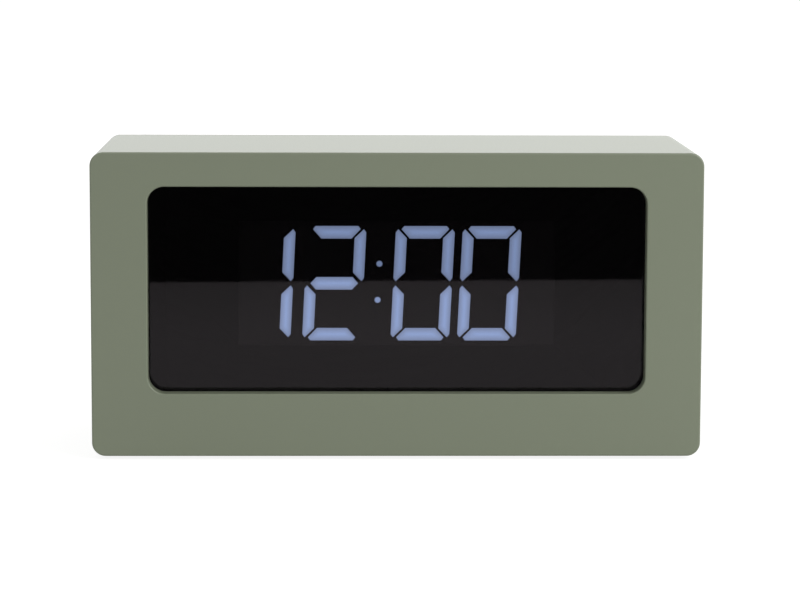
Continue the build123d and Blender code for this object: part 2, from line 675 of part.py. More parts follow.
def bend_radii(points):
    """Radius at each inner point of a route: as large as its two runs allow."""
    radii = []
    for before, here, after in zip(points, points[1:], points[2:]):
        first, second = Vector(*here) - Vector(*before), Vector(*after) - Vector(*here)
        turn = math.radians(first.get_angle(second))
        radii.append(BEND_SHARE * min(first.length, second.length) / math.tan(turn / 2))
    return radii


def display_ribbon():
    """Flat ribbon that rises in an S from the display board to the main board."""
    run = (RIBBON_END[0] - RIBBON_START[0]) * RIBBON_RUN_SHARE
    points = [
        (0, *RIBBON_START),
        (0, RIBBON_START[0] + run, RIBBON_START[1]),
        (0, RIBBON_END[0] - run, RIBBON_END[1]),
        (0, *RIBBON_END),
    ]
    radii = bend_radii(points)
    print("ribbon radii", [round(r, 2) for r in radii])
    route = FilletPolyline(*points, radius=radii)
    start = Plane(origin=route @ 0, z_dir=route % 0, x_dir=(1, 0, 0))
    ribbon = sweep(start * Rectangle(RIBBON_WIDTH, RIBBON_THICKNESS), path=route)
    expected = route.length * RIBBON_WIDTH * RIBBON_THICKNESS
    print("ribbon volume", round(ribbon.volume, 2), "expected", round(expected, 2))
    return [ribbon]


def rear_cover():
    """Cover with the key holes, sound holes, USB hole, slider slot, battery bay and board bosses."""
    width, height = INNER_WIDTH - 2 * COVER_CLEARANCE, INNER_HEIGHT - 2 * COVER_CLEARANCE
    outline = Pos(0, BODY_MID) * RectangleRounded(width, height, COVER_RADIUS)
    cover = slab(outline, COVER_INNER_Y, COVER_OUTER_Y)
    cover = fillet(back_rim(cover), COVER_EDGE_RADIUS)
    through = (COVER_INNER_Y - OVERRUN, COVER_OUTER_Y + OVERRUN)
    cover += block(DOOR_LENGTH, DOOR_HEIGHT, BAY_FRONT_Y, COVER_INNER_Y, 0, DOOR_MID)
    cover -= block(BAY_LENGTH, BAY_HEIGHT, BAY_FLOOR_Y, COVER_OUTER_Y + OVERRUN, 0, DOOR_MID)
    sill_length, sill_height = DOOR_LENGTH + 2 * DOOR_CLEARANCE, DOOR_HEIGHT + 2 * DOOR_CLEARANCE
    sill = Pos(0, DOOR_MID) * RectangleRounded(sill_length, sill_height, DOOR_RADIUS + DOOR_CLEARANCE)
    cover -= slab(sill, DOOR_INNER_Y, COVER_OUTER_Y + OVERRUN)
    for side in (-1, 1):
        slot_width = DOOR_TAB_WIDTH + 2 * DOOR_CLEARANCE
        slot = (COVER_OUTER_Y - DOOR_TAB_SWEEP, COVER_OUTER_Y - DOOR_LIP)
        cover -= block(slot_width, 2 * DOOR_TAB_SWEEP, *slot, side * DOOR_TAB_X, DOOR_BOTTOM)
    key_hole = (KEY_LENGTH + 2 * KEY_CLEARANCE, KEY_HEIGHT + 2 * KEY_CLEARANCE)
    for x in KEY_XS.values():
        cover -= pill(*key_hole, *through, x, MAIN_BOARD_MID)
    slot_length = SLIDER_KNOB_LENGTH + SLIDER_TRAVEL + 2 * SLIDER_CLEARANCE
    cover -= block(slot_length, SLIDER_KNOB_HEIGHT + 2 * SLIDER_CLEARANCE, *through, SLIDER_X, MAIN_BOARD_MID)
    usb_hole = (USB_WIDTH + 2 * USB_CLEARANCE, USB_HEIGHT + 2 * USB_CLEARANCE)
    cover -= pill(*usb_hole, *through, USB_X, MAIN_BOARD_MID)
    for x, z in sound_hole_places():
        cover -= rod(SOUND_HOLE_RADIUS, *through, x, z)
    for x, z in POST_PLACES:
        cover -= rod(SCREW_HOLE_RADIUS, *through, x, z)
        sink_radius = SCREW_HEAD_RADIUS + COVER_SINK_CLEARANCE
        cover -= rod(sink_radius, COVER_SINK_Y, COVER_OUTER_Y + OVERRUN, x, z)
    for x, z in MAIN_SCREW_PLACES:
        cover += rod(MAIN_BOSS_RADIUS, MAIN_BACK_Y, COVER_INNER_Y, x, z)
        cover -= pilot_hole((x, z), MAIN_BACK_Y, SHORT_SCREW_GRIP + SCREW_TIP_GAP, 1)
    tab_hole = (TAB_CONTACT_WIDTH, TAB_CONTACT_WIDTH, BAY_FRONT_Y - OVERRUN, BAY_FLOOR_Y + OVERRUN)
    for x, z in contact_tab_places():
        cover -= block(*tab_hole, x, z)
    return [cover]


def sound_hole_places():
    """A hexagonal pattern of holes about the buzzer's axis."""
    places = []
    for row in range(-SOUND_RINGS, SOUND_RINGS + 1):
        for column in range(-SOUND_RINGS, SOUND_RINGS + 1):
            if abs(row + column) <= SOUND_RINGS:
                x = SOUND_X + (column + row / 2) * SOUND_HOLE_PITCH
                places.append((x, MAIN_BOARD_MID + row * SOUND_HOLE_PITCH * math.sqrt(3) / 2))
    return places


def key(x):
    """Pill-shaped key with a retaining flange and a stem that meets its switch."""
    length, height = KEY_LENGTH + 2 * KEY_FLANGE, KEY_HEIGHT + 2 * KEY_FLANGE
    cap = pill(KEY_LENGTH, KEY_HEIGHT, KEY_FLANGE_BACK_Y, COVER_OUTER_Y + KEY_PROUD, x, MAIN_BOARD_MID)
    cap = fillet(back_rim(cap), KEY_EDGE_RADIUS)
    flange = pill(length, height, KEY_FLANGE_FRONT_Y, KEY_FLANGE_BACK_Y, x, MAIN_BOARD_MID)
    return [cap + flange + rod(PLUNGER_RADIUS, PLUNGER_BACK_Y, KEY_FLANGE_FRONT_Y, x, MAIN_BOARD_MID)]


def plunger(x):
    """Moving stem of the press switch under a key."""
    y_front = MAIN_BACK_Y + SWITCH_FLOOR + KEY_TRAVEL + PLUNGER_CLEARANCE
    return [rod(PLUNGER_RADIUS, y_front, PLUNGER_BACK_Y, x, MAIN_BOARD_MID)]


def press_switches():
    """Bodies of the press switches on the main board."""
    bodies = []
    for x in KEY_XS.values():
        body = block(SWITCH_SIZE, SWITCH_SIZE, MAIN_BACK_Y, SWITCH_BACK_Y, x, MAIN_BOARD_MID)
        well = (MAIN_BACK_Y + SWITCH_FLOOR, SWITCH_BACK_Y + OVERRUN)
        bodies.append(body - rod(PLUNGER_RADIUS + PLUNGER_CLEARANCE, *well, x, MAIN_BOARD_MID))
    return bodies


def alarm_slider():
    """Grooved knob that slides in the cover's slot, with a flange that covers the slot."""
    flange_length = SLIDER_KNOB_LENGTH + 2 * (SLIDER_TRAVEL + SLIDER_CLEARANCE + SLIDER_FLANGE_OVERLAP)
    flange_height = SLIDER_KNOB_HEIGHT + 2 * (SLIDER_CLEARANCE + SLIDER_FLANGE_OVERLAP)
    flange_ends = (KEY_FLANGE_FRONT_Y, KEY_FLANGE_BACK_Y)
    y_knob = COVER_OUTER_Y + SLIDER_PROUD
    knob_size = (SLIDER_KNOB_LENGTH, SLIDER_KNOB_HEIGHT, KEY_FLANGE_BACK_Y, y_knob)
    knob = block(*knob_size, SLIDER_REST_X, MAIN_BOARD_MID)
    knob = fillet(back_rim(knob), SLIDER_EDGE_RADIUS)
    for place in range(SLIDER_GROOVES):
        x = SLIDER_REST_X + (place - (SLIDER_GROOVES - 1) / 2) * SLIDER_GROOVE_PITCH
        groove = (y_knob - SLIDER_GROOVE_DEPTH, y_knob + OVERRUN)
        knob -= block(SLIDER_GROOVE_WIDTH, SLIDER_KNOB_HEIGHT + OVERRUN, *groove, x, MAIN_BOARD_MID)
    slider = knob + block(flange_length, flange_height, *flange_ends, SLIDER_REST_X, MAIN_BOARD_MID)
    socket = (KEY_FLANGE_FRONT_Y - OVERRUN, KEY_FLANGE_FRONT_Y + LEVER_BITE)
    return [slider - block(LEVER_LENGTH, LEVER_WIDTH, *socket, SLIDER_REST_X, MAIN_BOARD_MID)]


def alarm_switch_body():
    """Body of the slide switch on the main board, slotted for its lever."""
    size = (SLIDE_BODY_LENGTH, SLIDE_BODY_WIDTH, MAIN_BACK_Y, SLIDE_BODY_BACK_Y)
    body = block(*size, SLIDER_X, MAIN_BOARD_MID)
    slot_length = LEVER_LENGTH + SLIDER_TRAVEL + 2 * LEVER_CLEARANCE
    slot = (MAIN_BACK_Y + SLIDE_BODY_FLOOR, SLIDE_BODY_BACK_Y + OVERRUN)
    return [body - block(slot_length, LEVER_WIDTH + 2 * LEVER_CLEARANCE, *slot, SLIDER_X, MAIN_BOARD_MID)]


def alarm_switch_lever():
    """Lever of the slide switch, held in the slider's socket."""
    ends = (MAIN_BACK_Y + SLIDE_BODY_FLOOR + LEVER_CLEARANCE, KEY_FLANGE_FRONT_Y + LEVER_BITE)
    return [block(LEVER_LENGTH, LEVER_WIDTH, *ends, SLIDER_REST_X, MAIN_BOARD_MID)]


USB_MOUTH_Y = COVER_OUTER_Y - USB_SETBACK
USB_BASE_Y = USB_MOUTH_Y - USB_DEPTH


def usb_shell():
    """Metal shell of the USB socket, standing on the main board."""
    shell = pill(USB_WIDTH, USB_HEIGHT, MAIN_BACK_Y, USB_MOUTH_Y, USB_X, MAIN_BOARD_MID)
    bore = (USB_WIDTH - 2 * USB_WALL, USB_HEIGHT - 2 * USB_WALL, MAIN_BACK_Y - OVERRUN, USB_MOUTH_Y + OVERRUN)
    return [shell - pill(*bore, USB_X, MAIN_BOARD_MID)]


def usb_tongue():
    """Plastic base and contact tongue inside the USB socket."""
    base = (USB_WIDTH - 2 * USB_WALL, USB_HEIGHT - 2 * USB_WALL, MAIN_BACK_Y, USB_BASE_Y)
    tongue = (TONGUE_WIDTH, TONGUE_THICKNESS, USB_BASE_Y, USB_MOUTH_Y - TONGUE_SETBACK)
    return [pill(*base, USB_X, MAIN_BOARD_MID) + block(*tongue, USB_X, MAIN_BOARD_MID)]


def cell_rows():
    """Height of each cell's axis and the side that its plus end faces, from the top down."""
    first = DOOR_MID + (CELL_COUNT - 1) / 2 * CELL_PITCH
    return [(first - row * CELL_PITCH, -1 if row % 2 == 0 else 1) for row in range(CELL_COUNT)]


def battery_cells():
    """Back-up cells, laid head to tail."""
    cells = []
    for z, plus in cell_rows():
        plate_x = plus * (BAY_LENGTH / 2 - CONTACT_THICKNESS)
        can = Rot(0, 90, 0) * Cylinder(CELL_RADIUS, CELL_LENGTH)
        can = fillet(can.edges(), CELL_EDGE_RADIUS)
        nub = Rot(0, 90, 0) * Cylinder(CELL_NUB_RADIUS, CELL_NUB_LENGTH)
        can_x = plate_x - plus * (CELL_NUB_LENGTH + CELL_LENGTH / 2)
        nub_x = plate_x - plus * CELL_NUB_LENGTH / 2
        cells.append(Pos(can_x, CELL_Y, z) * can + Pos(nub_x, CELL_Y, z) * nub)
    return cells


def contact_tab_places():
    """Where the first and last contacts pass through the floor of the bay."""
    rows = cell_rows()
    inset = BAY_LENGTH / 2 - TAB_CONTACT_WIDTH / 2
    return [(rows[0][1] * inset, rows[0][0]), (-rows[-1][1] * inset, rows[-1][0])]


def contact_plates():
    """Plates at the ends of the bay: one for each outer pole, and a bridge for each pair of cells."""
    rows = cell_rows()
    last = len(rows) - 1
    bridges = [(-rows[i][1], [i, i + 1]) for i in range(last)]
    groups = [(rows[0][1], [0])] + bridges + [(-rows[last][1], [last])]
    plates = []
    for side, members in groups:
        zs = [rows[i][0] for i in members]
        x = side * (BAY_LENGTH / 2 - CONTACT_THICKNESS / 2)
        ends = (CELL_Y - CONTACT_WIDTH / 2, CELL_Y + CONTACT_WIDTH / 2)
        height = max(zs) - min(zs) + CONTACT_WIDTH
        plates.append(block(CONTACT_THICKNESS, height, *ends, x, sum(zs) / len(zs)))
    for (x, z), place in zip(contact_tab_places(), (0, -1)):
        tab_x = math.copysign(BAY_LENGTH / 2 - CONTACT_THICKNESS / 2, x)
        tab = (BAY_FRONT_Y - TAB_CONTACT_PROUD, CELL_Y - CONTACT_WIDTH / 2)
        plates[place] += block(CONTACT_THICKNESS, TAB_CONTACT_WIDTH, *tab, tab_x, z)
    return plates


def contact_springs():
    """A bent leaf at the minus end of each cell."""
    leaves = []
    for z, plus in cell_rows():
        wall_x = -plus * (BAY_LENGTH / 2 - CONTACT_THICKNESS)
        reach = plus * (CONTACT_SPRING_DEPTH - CONTACT_THICKNESS - CONTACT_SPRING_GAP)
        arm, crest = CONTACT_WIDTH * SPRING_ARM_SHARE, CONTACT_WIDTH * SPRING_CREST_SHARE
        half = [(reach, crest), (0, arm), (0, CONTACT_WIDTH / 2)]
        outer = [(wall_x + x, CELL_Y - y) for x, y in reversed(half)]
        outer += [(wall_x + x, CELL_Y + y) for x, y in half]
        inner = [(x + plus * CONTACT_THICKNESS, y) for x, y in reversed(outer)]
        leaf = make_face(Polyline(*outer, *inner, close=True))
        leaves.append(Pos(0, 0, z - CONTACT_WIDTH / 2) * extrude(leaf, CONTACT_WIDTH, dir=(0, 0, 1)))
    return leaves


def battery_leads():
    """Two wires from the outer contacts to the main board."""
    leads = []
    board_z = MAIN_BOARD_BOTTOM + LEAD_BOARD_INSET
    for x, z in contact_tab_places():
        lead_x = math.copysign(BAY_LENGTH / 2 - CONTACT_THICKNESS / 2, x)
        start_y = BAY_FRONT_Y - TAB_CONTACT_PROUD
        low_y = start_y - LEAD_DROP
        corners = [(start_y, z), (low_y, z), (low_y, board_z), (MAIN_FRONT_Y, board_z)]
        points = [(lead_x, *corner) for corner in corners]
        radii = bend_radii(points)
        print("lead radii", [round(r, 2) for r in radii])
        route = FilletPolyline(*points, radius=radii)
        wire = sweep(Plane(origin=route @ 0, z_dir=route % 0) * Circle(LEAD_RADIUS), path=route)
        expected = route.length * math.pi * LEAD_RADIUS**2
        print("lead volume", round(wire.volume, 2), "expected", round(expected, 2))
        leads.append(wire)
    return leads


def battery_door():
    """Snap-in door with two tabs along its lower edge and a sprung latch with grip ribs at its upper edge."""
    outline = Pos(0, DOOR_MID) * RectangleRounded(DOOR_LENGTH, DOOR_HEIGHT, DOOR_RADIUS)
    door = slab(outline, DOOR_INNER_Y, COVER_OUTER_Y)
    door = fillet(back_rim(door), DOOR_EDGE_RADIUS)
    tab_ends = (DOOR_INNER_Y, DOOR_INNER_Y + DOOR_TAB_THICKNESS)
    through = (DOOR_INNER_Y - OVERRUN, COVER_OUTER_Y + OVERRUN)
    for side in (-1, 1):
        z = DOOR_BOTTOM - DOOR_TAB_LENGTH / 2 + DOOR_RADIUS / 2
        door += block(DOOR_TAB_WIDTH, DOOR_TAB_LENGTH + DOOR_RADIUS, *tab_ends, side * DOOR_TAB_X, z)
        slit_x = side * (DOOR_LATCH_WIDTH + DOOR_LATCH_SLIT) / 2
        slit_height = DOOR_LATCH_LENGTH + OVERRUN
        slit_z = DOOR_TOP - DOOR_LATCH_LENGTH + slit_height / 2
        door -= block(DOOR_LATCH_SLIT, slit_height, *through, slit_x, slit_z)
    for place in range(DOOR_RIBS):
        z = DOOR_TOP - DOOR_LATCH_LENGTH / 2 + (place - (DOOR_RIBS - 1) / 2) * DOOR_RIB_PITCH
        door += block(DOOR_RIB_LENGTH, DOOR_RIB_WIDTH, COVER_OUTER_Y, COVER_OUTER_Y + DOOR_RIB_PROUD, 0, z)
    return [door]


def screws(places, y_seat, grip, direction):
    """A group of like screws."""
    return [screw(place, y_seat, grip, direction) for place in places]


def nodes():
    """Every separate piece of the clock, by name."""
    pieces = {
        "case_shell": [case_shell()],
        "rubber_feet": rubber_feet(),
        "lens_tape": lens_tape(),
        "display_lens": display_lens(),
        "display_frame": display_frame(),
        "frame_screws": screws(FRAME_SCREW_PLACES, FRAME_BACK_Y, SHORT_SCREW_GRIP + FRAME_THICKNESS, -1),
        "digit_block": digit_block(),
        "unlit_segments": unlit_segments(),
        "colon_dots": colon_dots(),
        "led_chips": led_chips(),
        "display_board": display_board(),
        "display_board_screws": screws(DISPLAY_SCREW_PLACES, DISPLAY_BACK_Y, BOARD_SCREW_LENGTH, -1),
        "driver_chip": driver_chip(),
        "ribbon_plugs": ribbon_plugs(),
        "display_ribbon": display_ribbon(),
        "main_board": main_board(),
        "main_board_screws": screws(MAIN_SCREW_PLACES, MAIN_FRONT_Y, BOARD_SCREW_LENGTH, 1),
        "clock_chip": clock_chip(),
        "crystal": crystal(),
        "capacitors": capacitors(),
        "buzzer": buzzer(),
        "press_switches": press_switches(),
        "alarm_switch_body": alarm_switch_body(),
        "alarm_switch_lever": alarm_switch_lever(),
        "alarm_slider": alarm_slider(),
        "usb_shell": usb_shell(),
        "usb_tongue": usb_tongue(),
        "rear_cover": rear_cover(),
        "cover_screws": screws(POST_PLACES, COVER_SINK_Y, SCREW_GRIP + COVER_SINK_Y - COVER_INNER_Y, -1),
        "battery_cells": battery_cells(),
        "contact_plates": contact_plates(),
        "contact_springs": contact_springs(),
        "battery_leads": battery_leads(),
        "battery_door": battery_door(),
    }
    for name, (x, lit, _) in DIGITS.items():
        pieces[f"{name}_segments"] = digit_segments(x, lit)
    for name, x in KEY_XS.items():
        pieces[f"{name}_key"] = key(x)
        pieces[f"{name}_plunger"] = plunger(x)
    return pieces


def main():
    """Writes one STEP file for each piece."""
    os.makedirs("parts", exist_ok=True)
    for name, solids in nodes().items():
        shape = solids[0] if len(solids) == 1 else Compound(children=solids)
        export_step(shape, f"parts/{name}.step")


main()
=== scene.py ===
"""Looks of a digital LED desk clock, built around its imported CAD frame.

Everything is in metres, in the frame of the CAD model: +X to the right of someone reading the clock, +Y from
the front to the back and +Z up, with the origin on the table under the middle of the case.
"""
import json
import logging
import math
from dataclasses import dataclass
from enum import Enum
from typing import Any, Optional, Sequence

import bmesh
import bpy
from mathutils import Matrix, Vector
from mathutils.geometry import delaunay_2d_cdt, intersect_point_line


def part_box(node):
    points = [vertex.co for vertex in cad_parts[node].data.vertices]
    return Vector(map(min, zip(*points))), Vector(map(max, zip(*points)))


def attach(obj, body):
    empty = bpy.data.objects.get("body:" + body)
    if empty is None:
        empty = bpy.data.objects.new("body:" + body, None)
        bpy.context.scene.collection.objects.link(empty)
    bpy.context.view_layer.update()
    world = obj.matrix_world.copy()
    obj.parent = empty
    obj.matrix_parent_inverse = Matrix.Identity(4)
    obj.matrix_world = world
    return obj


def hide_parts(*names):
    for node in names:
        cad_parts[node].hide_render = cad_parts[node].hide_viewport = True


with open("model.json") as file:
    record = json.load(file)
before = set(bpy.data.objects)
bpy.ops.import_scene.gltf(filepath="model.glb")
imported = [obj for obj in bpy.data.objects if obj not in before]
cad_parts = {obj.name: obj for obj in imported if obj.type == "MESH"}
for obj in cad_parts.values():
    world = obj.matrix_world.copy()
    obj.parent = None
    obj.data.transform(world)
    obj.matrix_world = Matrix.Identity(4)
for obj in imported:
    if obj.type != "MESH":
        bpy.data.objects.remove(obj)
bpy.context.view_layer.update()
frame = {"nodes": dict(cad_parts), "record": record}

MM = 0.001
LOG = logging.getLogger("desk_clock")
ROOT_BODY = "clock"
# Has the triangulation keep only what lies inside the outline.
INSIDE_ONLY = 1

Linear = tuple[float, float, float, float]


def linear(code: str, gain: float = 1.0) -> Linear:
    """Turns an sRGB hex code into a linear colour.

    Args:
        code: six hex digits after a hash sign.
        gain: factor on the linear values.

    Returns:
        Linear red, green, blue and an alpha of 1.
    """
    values = []
    for start in (1, 3, 5):
        level = int(code[start:start + 2], 16) / 255
        level = level / 12.92 if level <= 0.04045 else ((level + 0.055) / 1.055) ** 2.4
        values.append(level * gain)
    return (values[0], values[1], values[2], 1.0)


def per_mm(size_mm: float) -> float:
    """Texture scale at which one feature of a pattern is this many millimetres across."""
    return 1.0 / (size_mm * MM)


def add_node(
    tree: bpy.types.NodeTree,
    kind: str,
    inputs: Optional[dict[Any, Any]] = None,
    options: Optional[dict[str, Any]] = None,
) -> bpy.types.Node:
    """Adds one shader node, sets its options, and links or fills its inputs.

    Args:
        tree: node tree that takes the node.
        kind: the node's type name.
        inputs: socket name or number to an output socket, which is linked, or to a plain value.
        options: property name to value.

    Returns:
        The new node.
    """
    node = tree.nodes.new(kind)
    for option, value in (options or {}).items():
        setattr(node, option, value)
    for socket, value in (inputs or {}).items():
        if isinstance(value, bpy.types.NodeSocket):
            tree.links.new(value, node.inputs[socket])
        else:
            node.inputs[socket].default_value = value
    return node


def empty_material(name: str) -> tuple[bpy.types.Material, bpy.types.NodeTree, bpy.types.Node]:
    """Makes a material that has its output node alone.

    Args:
        name: what the material is.

    Returns:
        The material, its node tree and its output node.
    """
    material = bpy.data.materials.new(name)
    material.use_nodes = True
    tree = material.node_tree
    tree.nodes.clear()
    return material, tree, add_node(tree, "ShaderNodeOutputMaterial")


class Axis(Enum):
    """Direction that a brushed or striped finish runs along."""

    X = (1.0, 0.0, 0.0)
    Y = (0.0, 1.0, 0.0)
    Z = (0.0, 0.0, 1.0)


@dataclass(frozen=True)
class Finish:
    """What every finish shares: its name, its colour and the feel of its surface.

    The pattern sizes are in millimetres of the real surface.
    """

    name: str
    colour: str
    roughness: float
    roughness_spread: float = 0.06
    ior: float = 1.5
    specular: float = 0.5
    mottle: float = 0.04
    mottle_mm: float = 22.0
    mottle_detail: float = 3.0
    speckle: float = 0.5
    grain_mm: float = 0.8
    grain_detail: float = 2.0
    grain_depth_mm: float = 0.02
    grain_strength: float = 0.35

    def surface(self, tree: bpy.types.NodeTree, place: bpy.types.NodeSocket) -> dict[str, Any]:
        """Colour, roughness and fine relief of the plain surface.

        Args:
            tree: node tree that takes the nodes.
            place: texture coordinates in metres.

        Returns:
            Inputs for the shader node.
        """
        cloud = add_node(
            tree,
            "ShaderNodeTexNoise",
            {"Vector": place, "Scale": per_mm(self.mottle_mm), "Detail": self.mottle_detail},
        )
        grain = add_node(
            tree,
            "ShaderNodeTexNoise",
            {"Vector": place, "Scale": per_mm(self.grain_mm), "Detail": self.grain_detail},
        )
        tone = add_node(
            tree, "ShaderNodeMix", {0: self.speckle, 2: cloud.outputs["Fac"], 3: grain.outputs["Fac"]}
        )
        colour = add_node(
            tree,
            "ShaderNodeMix",
            {
                0: tone.outputs[0],
                6: linear(self.colour, 1 - self.mottle),
                7: linear(self.colour, 1 + self.mottle),
            },
            {"data_type": "RGBA"},
        )
        relief = add_node(
            tree,
            "ShaderNodeBump",
            {
                "Height": grain.outputs["Fac"],
                "Strength": self.grain_strength,
                "Distance": self.grain_depth_mm * MM,
            },
        )
        rough = add_node(
            tree,
            "ShaderNodeMapRange",
            {
                "Value": grain.outputs["Fac"],
                "To Min": self.roughness - self.roughness_spread,
                "To Max": self.roughness + self.roughness_spread,
            },
        )
        return {
            "Base Color": colour.outputs[2],
            "Roughness": rough.outputs[0],
            "Normal": relief.outputs[0],
            "IOR": self.ior,
            "Specular IOR Level": self.specular,
        }

    def extra(self, tree: bpy.types.NodeTree, place: bpy.types.NodeSocket, inputs: dict[str, Any]) -> None:
        """Changes the plain surface's inputs where a finish needs it; a moulded surface needs nothing."""

    def build(self) -> bpy.types.Material:
        """Makes the finish's material.

        Returns:
            The new material.
        """
        material, tree, output = empty_material(self.name)
        place = add_node(tree, "ShaderNodeTexCoord").outputs["Object"]
        inputs = self.surface(tree, place)
        self.extra(tree, place, inputs)
        shader = add_node(tree, "ShaderNodeBsdfPrincipled", inputs)
        tree.links.new(shader.outputs[0], output.inputs["Surface"])
        return material


@dataclass(frozen=True)
class CollarPaintedShadeAbs(Finish):
    """Moulded ABS with painted shade: its window collar turns black at its inner end, standing in for the
    shade deep in the recess round the lens.
    """

    # Painted shade: colour of the collar's deep end, where the recess falls into shade.
    painted_shade_colour: str = "#0C0C0C"
    painted_shade_start_mm: float = -27.9
    collar_half_width_mm: float = 66.5
    collar_half_height_mm: float = 28.5
    collar_middle_mm: float = 44.8

    def extra(self, tree: bpy.types.NodeTree, place: bpy.types.NodeSocket, inputs: dict[str, Any]) -> None:
        """Adds the painted shade: black on what lies deep enough and within the collar.

        Args:
            tree: node tree that takes the nodes.
            place: texture coordinates in metres.
            inputs: the shader's inputs so far, which this changes.
        """
        split = add_node(tree, "ShaderNodeSeparateXYZ", {0: place})
        deep = add_node(
            tree,
            "ShaderNodeMath",
            {0: split.outputs["Y"], 1: self.painted_shade_start_mm * MM},
            {"operation": "GREATER_THAN"},
        )
        beside = add_node(
            tree,
            "ShaderNodeMath",
            {0: split.outputs["X"], 1: 0.0, 2: self.collar_half_width_mm * MM},
            {"operation": "COMPARE"},
        )
        upright = add_node(
            tree,
            "ShaderNodeMath",
            {0: split.outputs["Z"], 1: self.collar_middle_mm * MM, 2: self.collar_half_height_mm * MM},
            {"operation": "COMPARE"},
        )
        within = add_node(
            tree,
            "ShaderNodeMath",
            {0: beside.outputs[0], 1: upright.outputs[0]},
            {"operation": "MULTIPLY"},
        )
        # Mask of the painted shade: deep in the recess and within the collar.
        painted = add_node(
            tree,
            "ShaderNodeMath",
            {0: within.outputs[0], 1: deep.outputs[0]},
            {"operation": "MULTIPLY"},
        )
        mixed = add_node(
            tree,
            "ShaderNodeMix",
            {0: painted.outputs[0], 6: inputs["Base Color"], 7: linear(self.painted_shade_colour)},
            {"data_type": "RGBA"},
        )
        inputs["Base Color"] = mixed.outputs[2]


@dataclass(frozen=True)
class PlatedMetal(Finish):
    """Plated or drawn metal: bright, with fine lines along one direction that draw out the highlights."""

    lines: Axis = Axis.X
    line_mm: float = 0.15
    line_length_mm: float = 6.0
    line_detail: float = 1.0

    def extra(self, tree: bpy.types.NodeTree, place: bpy.types.NodeSocket, inputs: dict[str, Any]) -> None:
        """Adds the drawn lines and the metal.

        Args:
            tree: node tree that takes the nodes.
            place: texture coordinates in metres.
            inputs: the shader's inputs so far, which this changes.
        """
        stretch = [
            per_mm(self.line_length_mm) if part else per_mm(self.line_mm) for part in self.lines.value
        ]
        along = add_node(tree, "ShaderNodeMapping", {"Vector": place, "Scale": stretch})
        drawn = add_node(
            tree,
            "ShaderNodeTexNoise",
            {"Vector": along.outputs[0], "Scale": 1.0, "Detail": self.line_detail},
        )
        relief = add_node(
            tree,
            "ShaderNodeBump",
            {
                "Height": drawn.outputs["Fac"],
                "Strength": self.grain_strength,
                "Distance": self.grain_depth_mm * MM,
            },
        )
        inputs["Normal"] = relief.outputs[0]
        inputs["Metallic"] = 1.0


@dataclass(frozen=True)
class SmokedAcrylic(Finish):
    """Cast acrylic tinted nearly black and polished: dark and glossy, with the lit digits showing through."""

    mirror_tint: str = "#FFF5FB"

    def surface(self, tree: bpy.types.NodeTree, place: bpy.types.NodeSocket) -> dict[str, Any]:
        """Clear tint and even polish, with no grain to blur the digits.

        Args:
            tree: not used.
            place: not used.

        Returns:
            Inputs for the shader node.
        """
        return {
            "Base Color": linear(self.colour),
            "Roughness": self.roughness,
            "IOR": self.ior,
            "Specular IOR Level": self.specular,
            "Specular Tint": linear(self.mirror_tint),
            "Transmission Weight": 1.0,
        }


@dataclass(frozen=True)
class LitDiffuser(Finish):
    """Milky diffuser over a light-emitting diode: brightest along its middle and dimmer towards its edges."""

    strength: float = 4.5
    edge_share: float = 0.57
    edge_colour: str = "#BED3FF"

    def extra(self, tree: bpy.types.NodeTree, place: bpy.types.NodeSocket, inputs: dict[str, Any]) -> None:
        """Adds the light, from the levels that the mesh carries.

        Args:
            tree: node tree that takes the nodes.
            place: not used.
            inputs: the shader's inputs so far, which this changes.
        """
        glow = add_node(tree, "ShaderNodeAttribute", options={"attribute_name": "glow"})
        level = add_node(tree, "ShaderNodeAttribute", options={"attribute_name": "level"})
        spread = add_node(
            tree,
            "ShaderNodeMapRange",
            {
                "Value": glow.outputs["Fac"],
                "To Min": self.edge_share * self.strength,
                "To Max": self.strength,
            },
        )
        light = add_node(
            tree,
            "ShaderNodeMath",
            {0: spread.outputs[0], 1: level.outputs["Fac"]},
            {"operation": "MULTIPLY"},
        )
        tint = add_node(
            tree,
            "ShaderNodeMix",
            {0: glow.outputs["Fac"], 6: linear(self.edge_colour), 7: linear(self.colour)},
            {"data_type": "RGBA"},
        )
        inputs["Emission Color"] = tint.outputs[2]
        inputs["Emission Strength"] = light.outputs[0]


@dataclass(frozen=True)
class SolderMask(Finish):
    """Lacquered fibreglass board: green, with raised copper tracks that show as slightly paler lines."""

    track_mm: float = 2.4
    track_width_mm: float = 0.5
    track_run: float = 5.0
    dark_gain: float = 0.85
    track_gain: float = 1.9

    def extra(self, tree: bpy.types.NodeTree, place: bpy.types.NodeSocket, inputs: dict[str, Any]) -> None:
        """Adds the tracks, on the face that stands upright.

        Args:
            tree: node tree that takes the nodes.
            place: texture coordinates in metres.
            inputs: the shader's inputs so far, which this changes.
        """
        turned = add_node(tree, "ShaderNodeMapping", {"Vector": place, "Rotation": (math.pi / 2, 0.0, 0.0)})
        tracks = add_node(
            tree,
            "ShaderNodeTexBrick",
            {
                "Vector": turned.outputs[0],
                "Color1": linear(self.colour),
                "Color2": linear(self.colour, self.dark_gain),
                "Mortar": linear(self.colour, self.track_gain),
                "Scale": 1.0,
                "Mortar Size": self.track_width_mm / 2 * MM,
                "Brick Width": self.track_run * self.track_mm * MM,
                "Row Height": self.track_mm * MM,
            },
        )
        inputs["Base Color"] = tracks.outputs["Color"]


